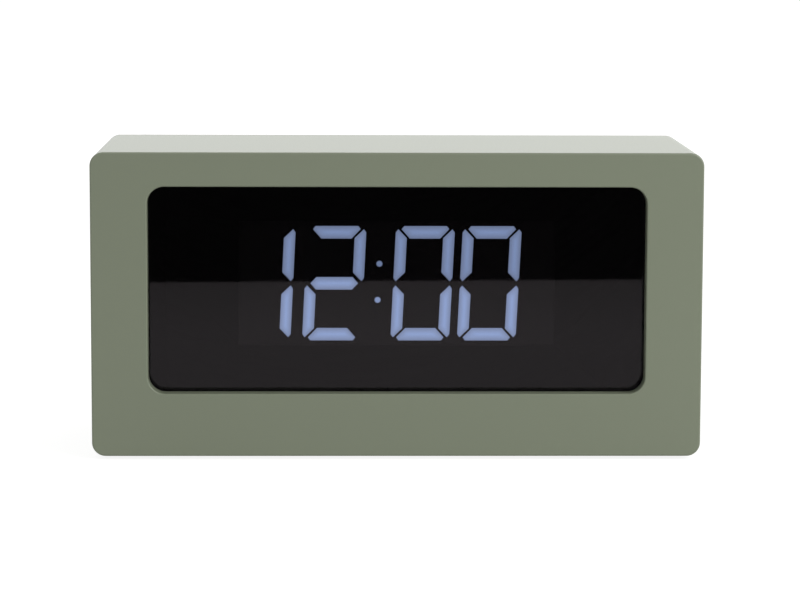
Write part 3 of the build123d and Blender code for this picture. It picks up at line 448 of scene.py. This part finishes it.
@dataclass(frozen=True)
class Striped(Finish):
    """Plastic with bands of a second colour, as on a ribbon cable, a dry cell or a pair of wires."""

    second: str = "#202020"
    run: Axis = Axis.X
    band_mm: float = 1.27
    from_mm: Optional[float] = None
    both_ends: bool = False
    second_metal: bool = False

    def extra(self, tree: bpy.types.NodeTree, place: bpy.types.NodeSocket, inputs: dict[str, Any]) -> None:
        """Adds the bands: repeated ones, or a change of colour beyond one place, at one end or both.

        Args:
            tree: node tree that takes the nodes.
            place: texture coordinates in metres.
            inputs: the shader's inputs so far, which this changes.
        """
        split = add_node(tree, "ShaderNodeSeparateXYZ", {0: place})
        value = split.outputs[self.run.name]
        if self.both_ends:
            value = add_node(tree, "ShaderNodeMath", {0: value}, {"operation": "ABSOLUTE"}).outputs[0]
        if self.from_mm is None:
            wave = add_node(
                tree,
                "ShaderNodeMath",
                {0: value, 1: self.band_mm * MM},
                {"operation": "PINGPONG"},
            )
            edge = add_node(
                tree,
                "ShaderNodeMapRange",
                {"Value": wave.outputs[0], "From Max": self.band_mm * MM},
            )
        else:
            edge = add_node(
                tree,
                "ShaderNodeMath",
                {0: value, 1: self.from_mm * MM},
                {"operation": "GREATER_THAN"},
            )
        mixed = add_node(
            tree,
            "ShaderNodeMix",
            {0: edge.outputs[0], 6: inputs["Base Color"], 7: linear(self.second)},
            {"data_type": "RGBA"},
        )
        inputs["Base Color"] = mixed.outputs[2]
        if self.second_metal:
            inputs["Metallic"] = edge.outputs[0]


# Moulded ABS from a finely spark-eroded tool: an even, silky matt green that pales where it is seen edge on.
# The real grit is about 0.1 mm, too fine for the picture, so it is drawn at 0.5 mm.
# Its window collar carries painted shade, black at the inner end of the recess.
CASE_ABS = CollarPaintedShadeAbs(
    "spark_eroded_sage_abs", "#737A67", 0.38, mottle=0.02, mottle_mm=45.0, grain_mm=0.5, grain_depth_mm=0.012,
    grain_strength=0.25,
)
# The same ABS from a coarser tool: the back is a little darker and rougher.
COVER_ABS = Finish(
    "coarse_sage_abs", "#6C7361", 0.56, mottle=0.12, speckle=0.75, mottle_mm=30.0, grain_mm=0.7,
    grain_depth_mm=0.04, grain_strength=0.8,
)
# Cast, tinted and polished acrylic: a dark mirror to the room. Bare acrylic has an IOR of 1.49, but the real
# panel mirrors less than half as much, as a low-reflection hard coat does.
SMOKED_ACRYLIC = SmokedAcrylic("smoked_polished_acrylic", "#656466", 0.02, ior=1.3)
# Slit closed-cell foam: dull black with open pores.
FOAM_TAPE = Finish("black_foam_tape", "#1B1B1C", 0.9, grain_mm=0.35, grain_depth_mm=0.05, mottle=0.1)
# Moulded black ABS, dull so that nothing glints behind the lens.
FRAME_BLACK = Finish("dull_black_abs", "#19191A", 0.75, specular=0.2)
# Black moulded housing of the digit module, printed dull on its face.
DIGIT_BLACK = Finish("black_display_housing", "#332D2C", 0.7, specular=0.2)
# Milky epoxy lit by white diodes, which reads as a cool blue-white.
SEGMENT_LIT = LitDiffuser("lit_milky_epoxy", "#B1CCFF", 0.4, mottle=0.02)
# The same epoxy unlit, which is nearly black behind the lens.
SEGMENT_DARK = Finish("unlit_grey_epoxy", "#342F33", 0.6, mottle=0.05, specular=0.2)
# Clear resin with yellow phosphor.
LED_RESIN = Finish("yellow_phosphor_resin", "#D8C878", 0.25)
# Lacquer over copper and fibreglass.
CIRCUIT_BOARD = SolderMask("green_solder_mask", "#1D5A36", 0.35)
# Transfer-moulded epoxy: near black, with a fine sandy face.
CHIP_EPOXY = Finish("moulded_chip_epoxy", "#1A1A1C", 0.6, grain_mm=0.3, grain_depth_mm=0.02)
# Natural nylon, slightly yellow.
PLUG_NYLON = Finish("natural_nylon", "#E0DBC9", 0.45)
# Extruded PVC wires side by side.
RIBBON_PVC = Striped("grey_ribbon_pvc", "#95979C", 0.5, second="#6B6D72", run=Axis.X, band_mm=0.635)
# Drawn aluminium and tin cans.
CAN_METAL = PlatedMetal("drawn_aluminium_can", "#C9CACD", 0.32, lines=Axis.Y)
# Moulded case of the sounder.
BUZZER_BLACK = Finish("black_sounder_case", "#161617", 0.5)
# Glass-filled nylon switch bodies.
SWITCH_BLACK = Finish("black_switch_nylon", "#19191B", 0.55)
# Moulded stems, a little paler than the bodies.
SWITCH_STEM = Finish("dark_stem_acetal", "#2C2C2F", 0.4)
# Moulded charcoal keys with a fine satin face.
KEY_CHARCOAL = Finish("satin_charcoal_abs", "#2E302D", 0.48, mottle=0.12, grain_mm=0.45)
# Pad print in pale grey ink on the keys and the cover.
PALE_INK = Finish("pale_grey_pad_ink", "#C9CCC4", 0.55, mottle=0.05, mottle_mm=0.6)
# Nickel-plated pressed steel.
USB_STEEL = PlatedMetal("plated_pressed_steel", "#BFC1C4", 0.26, lines=Axis.Y)
# Zinc-plated steel with turning marks.
SCREW_STEEL = PlatedMetal("zinc_plated_steel", "#B4B7BA", 0.33, lines=Axis.X, line_mm=0.2)
# Printed film sleeve on a dry cell, with bare steel at both ends.
CELL_JACKET = Striped(
    "plain_cell_film", "#3F5B63", 0.3, second="#C6C9CC", run=Axis.X, from_mm=20.6, both_ends=True,
    second_metal=True,
)
# Nickel-plated spring strip.
CONTACT_NICKEL = PlatedMetal("nickel_spring_strip", "#CFCBC2", 0.28, lines=Axis.Z)
# Extruded PVC insulation, red to one side and black to the other.
LEAD_PVC = Striped("red_and_black_wire_pvc", "#1B1B1C", 0.45, second="#8E2A22", run=Axis.X, from_mm=0.0)
# Moulded rubber with a dusty bloom.
FOOT_RUBBER = Finish("moulded_black_rubber", "#1E1E1F", 0.8, mottle=0.12, mottle_mm=3.0, grain_mm=0.4)

FINISH_OF_SLOT: dict[str, Finish] = {
    "case_abs": CASE_ABS,
    "cover_abs": COVER_ABS,
    "smoked_acrylic": SMOKED_ACRYLIC,
    "foam_tape": FOAM_TAPE,
    "frame_black": FRAME_BLACK,
    "digit_black": DIGIT_BLACK,
    "segment_lit": SEGMENT_LIT,
    "segment_dark": SEGMENT_DARK,
    "led_resin": LED_RESIN,
    "circuit_board": CIRCUIT_BOARD,
    "chip_epoxy": CHIP_EPOXY,
    "plug_nylon": PLUG_NYLON,
    "ribbon_pvc": RIBBON_PVC,
    "can_metal": CAN_METAL,
    "buzzer_black": BUZZER_BLACK,
    "switch_black": SWITCH_BLACK,
    "switch_stem": SWITCH_STEM,
    "key_charcoal": KEY_CHARCOAL,
    "usb_steel": USB_STEEL,
    "screw_steel": SCREW_STEEL,
    "cell_jacket": CELL_JACKET,
    "contact_nickel": CONTACT_NICKEL,
    "lead_pvc": LEAD_PVC,
    "foot_rubber": FOOT_RUBBER,
}


class Wardrobe:
    """Makes each finish's material once and hands it out."""

    def __init__(self) -> None:
        """Starts with nothing made."""
        self.made: dict[str, bpy.types.Material] = {}

    def get(self, finish: Finish) -> bpy.types.Material:
        """Gives the finish's material, and makes it on first use.

        Args:
            finish: the finish wanted.

        Returns:
            Its material.
        """
        if finish.name not in self.made:
            self.made[finish.name] = finish.build()
        return self.made[finish.name]

    def dress(self, thing: bpy.types.Object, finish: Finish) -> None:
        """Puts one finish on the whole of an object."""
        thing.data.materials.clear()
        thing.data.materials.append(self.get(finish))


@dataclass
class FrameDress:
    """Puts the finish of each material slot on the CAD nodes that have it."""

    wardrobe: Wardrobe

    def build(self) -> None:
        """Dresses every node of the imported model."""
        for part in frame["record"]["subparts"]:
            finish = FINISH_OF_SLOT[part["material_slot"]]
            self.wardrobe.dress(frame["nodes"][part["node"]], finish)
            LOG.info("dressed %s in %s", part["node"], finish.name)


@dataclass
class DigitDisplay:
    """The lit bars and dots of the display, made from their CAD nodes so that they glow along the middle."""

    wardrobe: Wardrobe
    dot_reach: float = 0.35 * MM
    bar_step: float = 0.375 * MM
    dot_step: float = 0.2 * MM
    rim_share: float = 0.35
    level_reach: float = 4.0 * MM
    upper_level: float = 0.775
    middle_level: float = 0.96
    lower_level: float = 1.0
    upper_dot_level: float = 0.55
    lower_dot_level: float = 0.82
    weld: float = 0.001 * MM
    flat_angle: float = math.radians(2.0)
    front_normal: float = -0.9

    def rim_distance(self, point: Vector, outline: Sequence[Vector]) -> float:
        """Distance of a point from an outline.

        Args:
            point: the point.
            outline: the outline's corners in order.

        Returns:
            Distance to the nearest side.
        """
        nearest = math.inf
        for start, end in zip(outline, [*outline[1:], outline[0]]):
            along, share = intersect_point_line(point, start, end)
            foot = start if share < 0 else end if share > 1 else along.to_2d()
            nearest = min(nearest, (point - foot).length)
        return nearest

    def inside(self, point: Vector, outline: Sequence[Vector]) -> bool:
        """Whether a point lies inside a convex outline, whichever way round its corners run.

        Args:
            point: the point.
            outline: the outline's corners in order.

        Returns:
            True where it lies inside.
        """
        turns = [
            (end - start).cross(point - start) > 0 for start, end in zip(outline, [*outline[1:], outline[0]])
        ]
        return all(turns) or not any(turns)

    def even_places(self, reaches: Sequence[float], step: float) -> list[float]:
        """Even places from the lowest of some values to the highest, with one halfway.

        Args:
            reaches: the values.
            step: largest distance between the places.

        Returns:
            The places in order.
        """
        halfway = (min(reaches) + max(reaches)) / 2
        half = (max(reaches) - min(reaches)) / 2
        count = math.ceil(half / step)
        return [halfway + half * place / count for place in range(-count, count + 1)]

    def inner_points(self, outline: Sequence[Vector], step: float) -> list[Vector]:
        """Points inside an outline, in rows along its longest side with one row on its middle line.

        Args:
            outline: the outline's corners in order.
            step: distance between the points.

        Returns:
            The points that lie clear of the rim.
        """
        sides = [end - start for start, end in zip(outline, [*outline[1:], outline[0]])]
        along = max(sides, key=lambda side: side.length).normalized()
        rows = self.even_places([corner.dot(along.orthogonal()) for corner in outline], step)
        columns = self.even_places([corner.dot(along) for corner in outline], step)
        points = [row * along.orthogonal() + column * along for row in rows for column in columns]
        return [
            point
            for point in points
            if self.inside(point, outline) and self.rim_distance(point, outline) > self.rim_share * step
        ]

    def bar_level(self, height: float, middle: float, dots: bool) -> float:
        """Brightness of a bar or dot, from where it stands in its digit.

        Args:
            height: height of its middle.
            middle: height of the digit's middle.
            dots: whether it is a dot.

        Returns:
            Share of the full brightness.
        """
        if dots:
            return self.upper_dot_level if height > middle else self.lower_dot_level
        if abs(height - middle) < self.level_reach:
            return self.middle_level
        return self.upper_level if height > middle else self.lower_level

    def lit_piece(self, node: str, dots: bool) -> None:
        """Makes the lit stand-in of one node, with its front faces cut finer for the glow to follow.

        Args:
            node: the CAD node.
            dots: whether the node holds the dots.
        """
        low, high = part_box(node)
        middle = (low.z + high.z) / 2
        step = self.dot_step if dots else self.bar_step
        work = bmesh.new()
        work.from_mesh(frame["nodes"][node].data)
        bmesh.ops.remove_doubles(work, verts=work.verts, dist=self.weld)
        bmesh.ops.dissolve_limit(work, angle_limit=self.flat_angle, verts=work.verts, edges=work.edges)
        glow = work.verts.layers.float.new("glow")
        level = work.verts.layers.float.new("level")
        for face in [face for face in work.faces if face.normal.y < self.front_normal]:
            rim = list(face.verts)
            depth = rim[0].co.y
            outline = [vert.co.xz for vert in rim]
            heights = [corner.y for corner in outline]
            share = self.bar_level((min(heights) + max(heights)) / 2, middle, dots)
            inner = self.inner_points(outline, step)
            ridge = max(self.rim_distance(point, outline) for point in inner)
            reach = min(ridge, self.dot_reach) if dots else ridge
            sides = [(place, (place + 1) % len(rim)) for place in range(len(rim))]
            spots = [*outline, *inner]
            fine = delaunay_2d_cdt(spots, sides, [], INSIDE_ONLY, self.weld)
            triangles, sources = fine[2], fine[3]
            verts = rim + [work.verts.new((point.x, depth, point.y)) for point in inner]
            for vert, point in zip(verts, spots):
                vert[glow] = min(self.rim_distance(point, outline) / reach, 1.0)
                vert[level] = share
            work.faces.remove(face)
            for corners in triangles:
                work.faces.new([verts[sources[corner][0]] for corner in corners])
        bmesh.ops.recalc_face_normals(work, faces=work.faces)
        mesh = bpy.data.meshes.new(f"{node}_glow")
        work.to_mesh(mesh)
        work.free()
        piece = bpy.data.objects.new(f"{node}_glow", mesh)
        bpy.context.scene.collection.objects.link(piece)
        self.wardrobe.dress(piece, SEGMENT_LIT)
        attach(piece, ROOT_BODY)
        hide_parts(node)
        LOG.info("lit %s with %d points", piece.name, len(mesh.vertices))

    def build(self) -> None:
        """Makes the four digits and the dots."""
        for digit in ("hour_tens", "hour_units", "minute_tens", "minute_units"):
            self.lit_piece(f"{digit}_segments", dots=False)
        self.lit_piece("colon_dots", dots=True)


class Sign(Enum):
    """Signs on the set keys, each with the name of its key."""

    PLUS = "plus"
    MINUS = "minus"
    BELL = "alarm"
    DIAL = "mode"


@dataclass
class BackMarks:
    """Pad-printed signs on the set keys, and the two words under the alarm slider.

    Real ink is about 0.02 mm thick. Here it is 0.05 mm, so that it shows clear of the face below it.
    """

    wardrobe: Wardrobe
    ink: float = 0.05 * MM
    weld: float = 0.001 * MM
    sign_half: float = 1.6 * MM
    stroke: float = 0.6 * MM
    arc_sides: int = 12
    ring_sides: int = 48
    ring_inner: float = 1.22 * MM
    hand_half: float = 0.17 * MM
    hour_hand: float = 0.72 * MM
    minute_hand: float = 0.92 * MM
    bell_dome: float = 0.95 * MM
    bell_dome_height: float = 0.3 * MM
    bell_flare_height: float = -0.35 * MM
    bell_mouth: float = 1.4 * MM
    bell_lip: float = -0.72 * MM
    bell_foot: float = -0.95 * MM
    clapper: float = 0.4 * MM
    clapper_height: float = -1.15 * MM
    word_height: float = 1.5 * MM
    word_capital_share: float = 0.7
    word_gap: float = 0.9 * MM
    slot_half: float = 2.05 * MM
    slider_travel: float = 4.0 * MM
    word_spread: float = 0.7 * MM

    def arc(self, centre: Vector, radius: float, start: float, end: float, sides: int) -> list[Vector]:
        """Points along an arc.

        Args:
            centre: the arc's centre.
            radius: its radius.
            start: angle of the first point.
            end: angle of the last point.
            sides: number of straight steps.

        Returns:
            The points in order.
        """
        angles = [start + (end - start) * step / sides for step in range(sides + 1)]
        return [centre + radius * Vector((math.cos(angle), math.sin(angle))) for angle in angles]

    def sign_lines(self, sign: Sign) -> list[list[Vector]]:
        """Draws one sign.

        Args:
            sign: the sign.

        Returns:
            Its closed lines, where one inside another is a hole.
        """
        half, thin = self.sign_half, self.stroke / 2
        tip = self.arc(Vector((0.0, half - thin)), thin, 0.0, math.pi, self.arc_sides)
        if sign is Sign.PLUS:
            quarter = [Vector((thin, thin)), *tip]
            return [[Matrix.Rotation(turn * math.pi / 2, 2) @ spot for turn in range(4) for spot in quarter]]
        if sign is Sign.MINUS:
            return [[Matrix.Rotation(turn * math.pi / 2, 2) @ spot for turn in (1, 3) for spot in tip]]
        if sign is Sign.BELL:
            crown = Vector((0.0, self.bell_dome_height))
            dome = self.arc(crown, self.bell_dome, 0.0, math.pi, self.arc_sides)
            side = [
                Vector((self.bell_mouth, self.bell_foot)),
                Vector((self.bell_mouth, self.bell_lip)),
                Vector((self.bell_dome, self.bell_flare_height)),
            ]
            mirrored = [Vector((-spot.x, spot.y)) for spot in reversed(side)]
            middle = Vector((0.0, self.clapper_height))
            return [
                [*side, *dome, *mirrored],
                self.arc(middle, self.clapper, math.pi, 2 * math.pi, self.arc_sides),
            ]
        thin = self.hand_half
        hands = [
            (-thin, -thin),
            (self.hour_hand, -thin),
            (self.hour_hand, thin),
            (thin, thin),
            (thin, self.minute_hand),
            (-thin, self.minute_hand),
        ]
        rings = [
            self.arc(Vector((0.0, 0.0)), radius, 0.0, 2 * math.pi, self.ring_sides)[:-1]
            for radius in (half, self.ring_inner)
        ]
        return [*rings, [Vector(spot) for spot in hands]]

    def stamp(self, curve: bpy.types.Curve, place: Vector, body: str) -> None:
        """Turns a flat drawing into a layer of ink on a face that looks to the back.

        Args:
            curve: the drawing, in its own plane.
            place: where its origin lies on the face.
            body: the body that it rides on.
        """
        curve.extrude = self.ink / 2
        drawing = bpy.data.objects.new(curve.name, curve)
        bpy.context.scene.collection.objects.link(drawing)
        mesh = bpy.data.meshes.new_from_object(drawing)
        bpy.data.objects.remove(drawing)
        work = bmesh.new()
        work.from_mesh(mesh)
        bmesh.ops.remove_doubles(work, verts=work.verts, dist=self.weld)
        bmesh.ops.recalc_face_normals(work, faces=work.faces)
        work.to_mesh(mesh)
        work.free()
        backward = Matrix(((-1, 0, 0, 0), (0, 0, 1, 0), (0, 1, 0, 0), (0, 0, 0, 1)))
        mesh.transform(Matrix.Translation(place + Vector((0.0, self.ink / 2, 0.0))) @ backward)
        piece = bpy.data.objects.new(curve.name, mesh)
        bpy.context.scene.collection.objects.link(piece)
        self.wardrobe.dress(piece, PALE_INK)
        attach(piece, body)
        LOG.info("printed %s", piece.name)

    def sign(self, sign: Sign) -> None:
        """Prints one sign on the middle of its key.

        Args:
            sign: the sign.
        """
        low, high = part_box(f"{sign.value}_key")
        curve = bpy.data.curves.new(f"{sign.value}_key_sign", "CURVE")
        curve.dimensions = "2D"
        curve.fill_mode = "BOTH"
        for line in self.sign_lines(sign):
            spline = curve.splines.new("POLY")
            spline.points.add(len(line) - 1)
            for point, spot in zip(spline.points, line):
                point.co = (spot.x, spot.y, 0.0, 1.0)
            spline.use_cyclic_u = True
        middle = Vector(((low.x + high.x) / 2, high.y, (low.z + high.z) / 2))
        self.stamp(curve, middle, sign.value)

    def word(self, text: str, across: float) -> None:
        """Prints one word on the cover, under the slider's slot.

        Args:
            text: the word.
            across: place of its middle along X.
        """
        low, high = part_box("alarm_slider")
        drop = self.slot_half + self.word_gap + self.word_height
        curve = bpy.data.curves.new(f"alarm_{text.lower()}_word", "FONT")
        curve.body = text
        curve.size = self.word_height / self.word_capital_share
        curve.align_x = "CENTER"
        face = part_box("rear_cover")[1].y
        self.stamp(curve, Vector((across, face, (low.z + high.z) / 2 - drop)), ROOT_BODY)

    def build(self) -> None:
        """Prints the four signs and the two words."""
        for sign in Sign:
            self.sign(sign)
        low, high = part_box("alarm_slider")
        middle = (low.x + high.x) / 2
        self.word("OFF", middle - self.word_spread)
        self.word("ON", middle + self.slider_travel + self.word_spread)


@dataclass
class Studio:
    """Pale floor, soft lights and the camera at the photograph's viewing angle."""

    camera_place: tuple[float, float, float] = (-0.01552, -0.82173, 0.14274)
    camera_pitch: float = -0.1268
    camera_yaw: float = -0.0206
    camera_roll: float = 0.0034
    focal_px: float = 3046.5
    frame_px: float = 800.0
    sensor_mm: float = 36.0
    clip_near: float = 0.01
    clip_far: float = 100.0
    floor_half: float = 9.0
    floor_colour: str = "#E6E6E4"
    floor_shade_colour: str = "#898988"
    floor_white: float = 0.88
    backdrop_colour: str = "#FFFFFF"
    backdrop_strength: float = 1.0
    fill_strength: float = 0.55
    # Painted reflection: a card and a dimming strip of floor that only gloss and glass see, mirrored dark in
    # the lens.
    card_near: float = -0.4094
    card_slant: float = -0.057
    card_far: float = -1.6
    card_half: float = 1.2
    card_height: float = 0.0005
    card_colour: str = "#313133"
    card_roughness: float = 0.9
    card_specular: float = 0.1
    # Painted dimming of the mirrored floor: its glow falls to this share at the card's edge.
    dim_near: float = -0.255
    dim_share: float = 0.742
    key_place: tuple[float, float, float] = (0.7, -0.52, 0.6)
    key_size: float = 0.7
    key_power: float = 7.4
    back_place: tuple[float, float, float] = (0.0, 1.3, 0.75)
    back_size: float = 1.4
    back_power: float = 5.2
    aim: tuple[float, float, float] = (0.0, 0.0, 0.04)

    def camera(self) -> None:
        """Sets the camera from its solved place and turn."""
        pitch, yaw, roll = self.camera_pitch, self.camera_yaw, self.camera_roll
        ahead = Vector((-math.sin(yaw) * math.cos(pitch), math.cos(yaw) * math.cos(pitch), math.sin(pitch)))
        right = Vector((math.cos(yaw), math.sin(yaw), 0.0))
        up = right.cross(ahead)
        rolled_right = math.cos(roll) * right + math.sin(roll) * up
        rolled_up = -math.sin(roll) * right + math.cos(roll) * up
        turn = Matrix((rolled_right, rolled_up, -ahead)).transposed()
        data = bpy.data.cameras.new("photo_camera")
        data.sensor_fit = "HORIZONTAL"
        data.sensor_width = self.sensor_mm
        data.lens = self.sensor_mm * self.focal_px / self.frame_px
        data.clip_start = self.clip_near
        data.clip_end = self.clip_far
        camera = bpy.data.objects.new("photo_camera", data)
        camera.matrix_world = Matrix.Translation(self.camera_place) @ turn.to_4x4()
        bpy.context.scene.collection.objects.link(camera)
        bpy.context.scene.camera = camera

    def seen(self, tree: bpy.types.NodeTree) -> bpy.types.NodeSocket:
        """Adds a value that tells what is seen from what only lights the object.

        Args:
            tree: node tree that takes the nodes.

        Returns:
            1 for what the eye, gloss and glass see, and 0 for light that falls on the object.
        """
        rays = add_node(tree, "ShaderNodeLightPath")
        gloss = add_node(
            tree,
            "ShaderNodeMath",
            {0: rays.outputs["Is Camera Ray"], 1: rays.outputs["Is Glossy Ray"]},
            {"operation": "MAXIMUM"},
        )
        glass = add_node(
            tree,
            "ShaderNodeMath",
            {0: gloss.outputs[0], 1: rays.outputs["Is Transmission Ray"]},
            {"operation": "MAXIMUM"},
        )
        return glass.outputs[0]

    def plane(self, name: str, corners: Sequence[Vector]) -> bpy.types.Object:
        """Makes a flat stage piece.

        Args:
            name: its name.
            corners: its corners, in order.

        Returns:
            The new object.
        """
        mesh = bpy.data.meshes.new(name)
        mesh.from_pydata([tuple(corner) for corner in corners], [], [tuple(range(len(corners)))])
        thing = bpy.data.objects.new(name, mesh)
        bpy.context.scene.collection.objects.link(thing)
        return thing

    def floor(self) -> None:
        """Lays the pale floor, which shows white, keeps a soft shadow and is clear from below."""
        half = self.floor_half
        corners = ((-half, -half, 0), (half, -half, 0), (half, half, 0), (-half, half, 0))
        floor = self.plane("studio_floor", [Vector(corner) for corner in corners])
        material, tree, output = empty_material("pale_studio_floor")
        bounce = add_node(tree, "ShaderNodeBsdfDiffuse", {"Color": linear(self.floor_colour)})
        shade = add_node(tree, "ShaderNodeBsdfDiffuse", {"Color": linear(self.floor_shade_colour)})
        white = add_node(tree, "ShaderNodeEmission", {"Strength": self.floor_white})
        shown = add_node(tree, "ShaderNodeAddShader", {0: shade.outputs[0], 1: white.outputs[0]})
        mixed = add_node(
            tree, "ShaderNodeMixShader", {0: self.seen(tree), 1: bounce.outputs[0], 2: shown.outputs[0]}
        )
        side = add_node(tree, "ShaderNodeNewGeometry")
        clear = add_node(tree, "ShaderNodeBsdfTransparent")
        from_above = add_node(
            tree,
            "ShaderNodeMixShader",
            {0: side.outputs["Backfacing"], 1: mixed.outputs[0], 2: clear.outputs[0]},
        )
        tree.links.new(from_above.outputs[0], output.inputs["Surface"])
        floor.data.materials.append(material)

    def strip(self, name: str, near: float, far: float) -> bpy.types.Object:
        """Lays a strip in front of the clock that only gloss and glass see: a painted reflection, which the
        glossy lens mirrors.

        Args:
            name: its name.
            near: place of the middle of its near edge along Y.
            far: place of the middle of its far edge along Y.

        Returns:
            The new object.
        """
        half, slant = self.card_half, self.card_slant * self.card_half
        corners = ((-half, far - slant), (half, far + slant), (half, near + slant), (-half, near - slant))
        card = self.plane(name, [Vector((*corner, self.card_height)) for corner in corners])
        card.visible_camera = False
        card.visible_diffuse = False
        card.visible_shadow = False
        return card

    def card(self) -> None:
        """Paints the lens's reflection: a black card that only gloss sees, for a dark mirror image, and a
        stretch of floor whose glow dims towards the card's edge, a painted fading reflection.
        """
        material = bpy.data.materials.new("painted_reflection_card_stock")
        material.use_nodes = True
        shader = material.node_tree.nodes["Principled BSDF"]
        shader.inputs["Base Color"].default_value = linear(self.card_colour)
        shader.inputs["Roughness"].default_value = self.card_roughness
        shader.inputs["Specular IOR Level"].default_value = self.card_specular
        self.strip("painted_reflection_card", self.card_near, self.card_far).data.materials.append(material)
        painted_dim_reflection, tree, output = empty_material("painted_dimming_reflection_floor")
        place = add_node(tree, "ShaderNodeTexCoord").outputs["Object"]
        split = add_node(tree, "ShaderNodeSeparateXYZ", {0: place})
        strength = add_node(
            tree,
            "ShaderNodeMapRange",
            {
                "Value": split.outputs["Y"],
                "From Min": self.card_near,
                "From Max": self.dim_near,
                "To Min": self.floor_white * self.dim_share,
                "To Max": self.floor_white,
            },
        )
        shade = add_node(tree, "ShaderNodeBsdfDiffuse", {"Color": linear(self.floor_shade_colour)})
        white = add_node(tree, "ShaderNodeEmission", {"Strength": strength.outputs[0]})
        shown = add_node(tree, "ShaderNodeAddShader", {0: shade.outputs[0], 1: white.outputs[0]})
        tree.links.new(shown.outputs[0], output.inputs["Surface"])
        self.strip("painted_dim_reflection", self.dim_near, self.card_near).data.materials.append(painted_dim_reflection)

    def world(self) -> None:
        """Surrounds the scene with even white."""
        world = bpy.data.worlds.new("white_studio")
        bpy.context.scene.world = world
        world.use_nodes = True
        tree = world.node_tree
        tree.nodes.clear()
        output = add_node(tree, "ShaderNodeOutputWorld")
        colour = linear(self.backdrop_colour)
        fill = add_node(tree, "ShaderNodeBackground", {"Color": colour, "Strength": self.fill_strength})
        shown = add_node(tree, "ShaderNodeBackground", {"Color": colour, "Strength": self.backdrop_strength})
        mixed = add_node(
            tree, "ShaderNodeMixShader", {0: self.seen(tree), 1: fill.outputs[0], 2: shown.outputs[0]}
        )
        tree.links.new(mixed.outputs[0], output.inputs["Surface"])

    def lamp(self, name: str, place: tuple[float, float, float], size: float, power: float) -> None:
        """Hangs a soft square lamp that points at the clock.

        Args:
            name: its name.
            place: where its middle is.
            size: length of its sides.
            power: its power in watts.
        """
        data = bpy.data.lights.new(name, "AREA")
        data.size = size
        data.energy = power
        lamp = bpy.data.objects.new(name, data)
        toward = Vector(self.aim) - Vector(place)
        lamp.matrix_world = Matrix.Translation(place) @ toward.to_track_quat("-Z", "Y").to_matrix().to_4x4()
        bpy.context.scene.collection.objects.link(lamp)

    def build(self) -> None:
        """Sets up the studio."""
        bpy.context.scene.view_settings.view_transform = "Standard"
        self.camera()
        self.floor()
        self.card()
        self.world()
        self.lamp("soft_key", self.key_place, self.key_size, self.key_power)
        self.lamp("soft_back", self.back_place, self.back_size, self.back_power)


def main() -> None:
    """Builds the clock's looks and its studio."""
    logging.basicConfig(level=logging.INFO, format="%(message)s")
    wardrobe = Wardrobe()
    FrameDress(wardrobe).build()
    DigitDisplay(wardrobe).build()
    BackMarks(wardrobe).build()
    Studio().build()


if __name__ == "__main__":
    main()
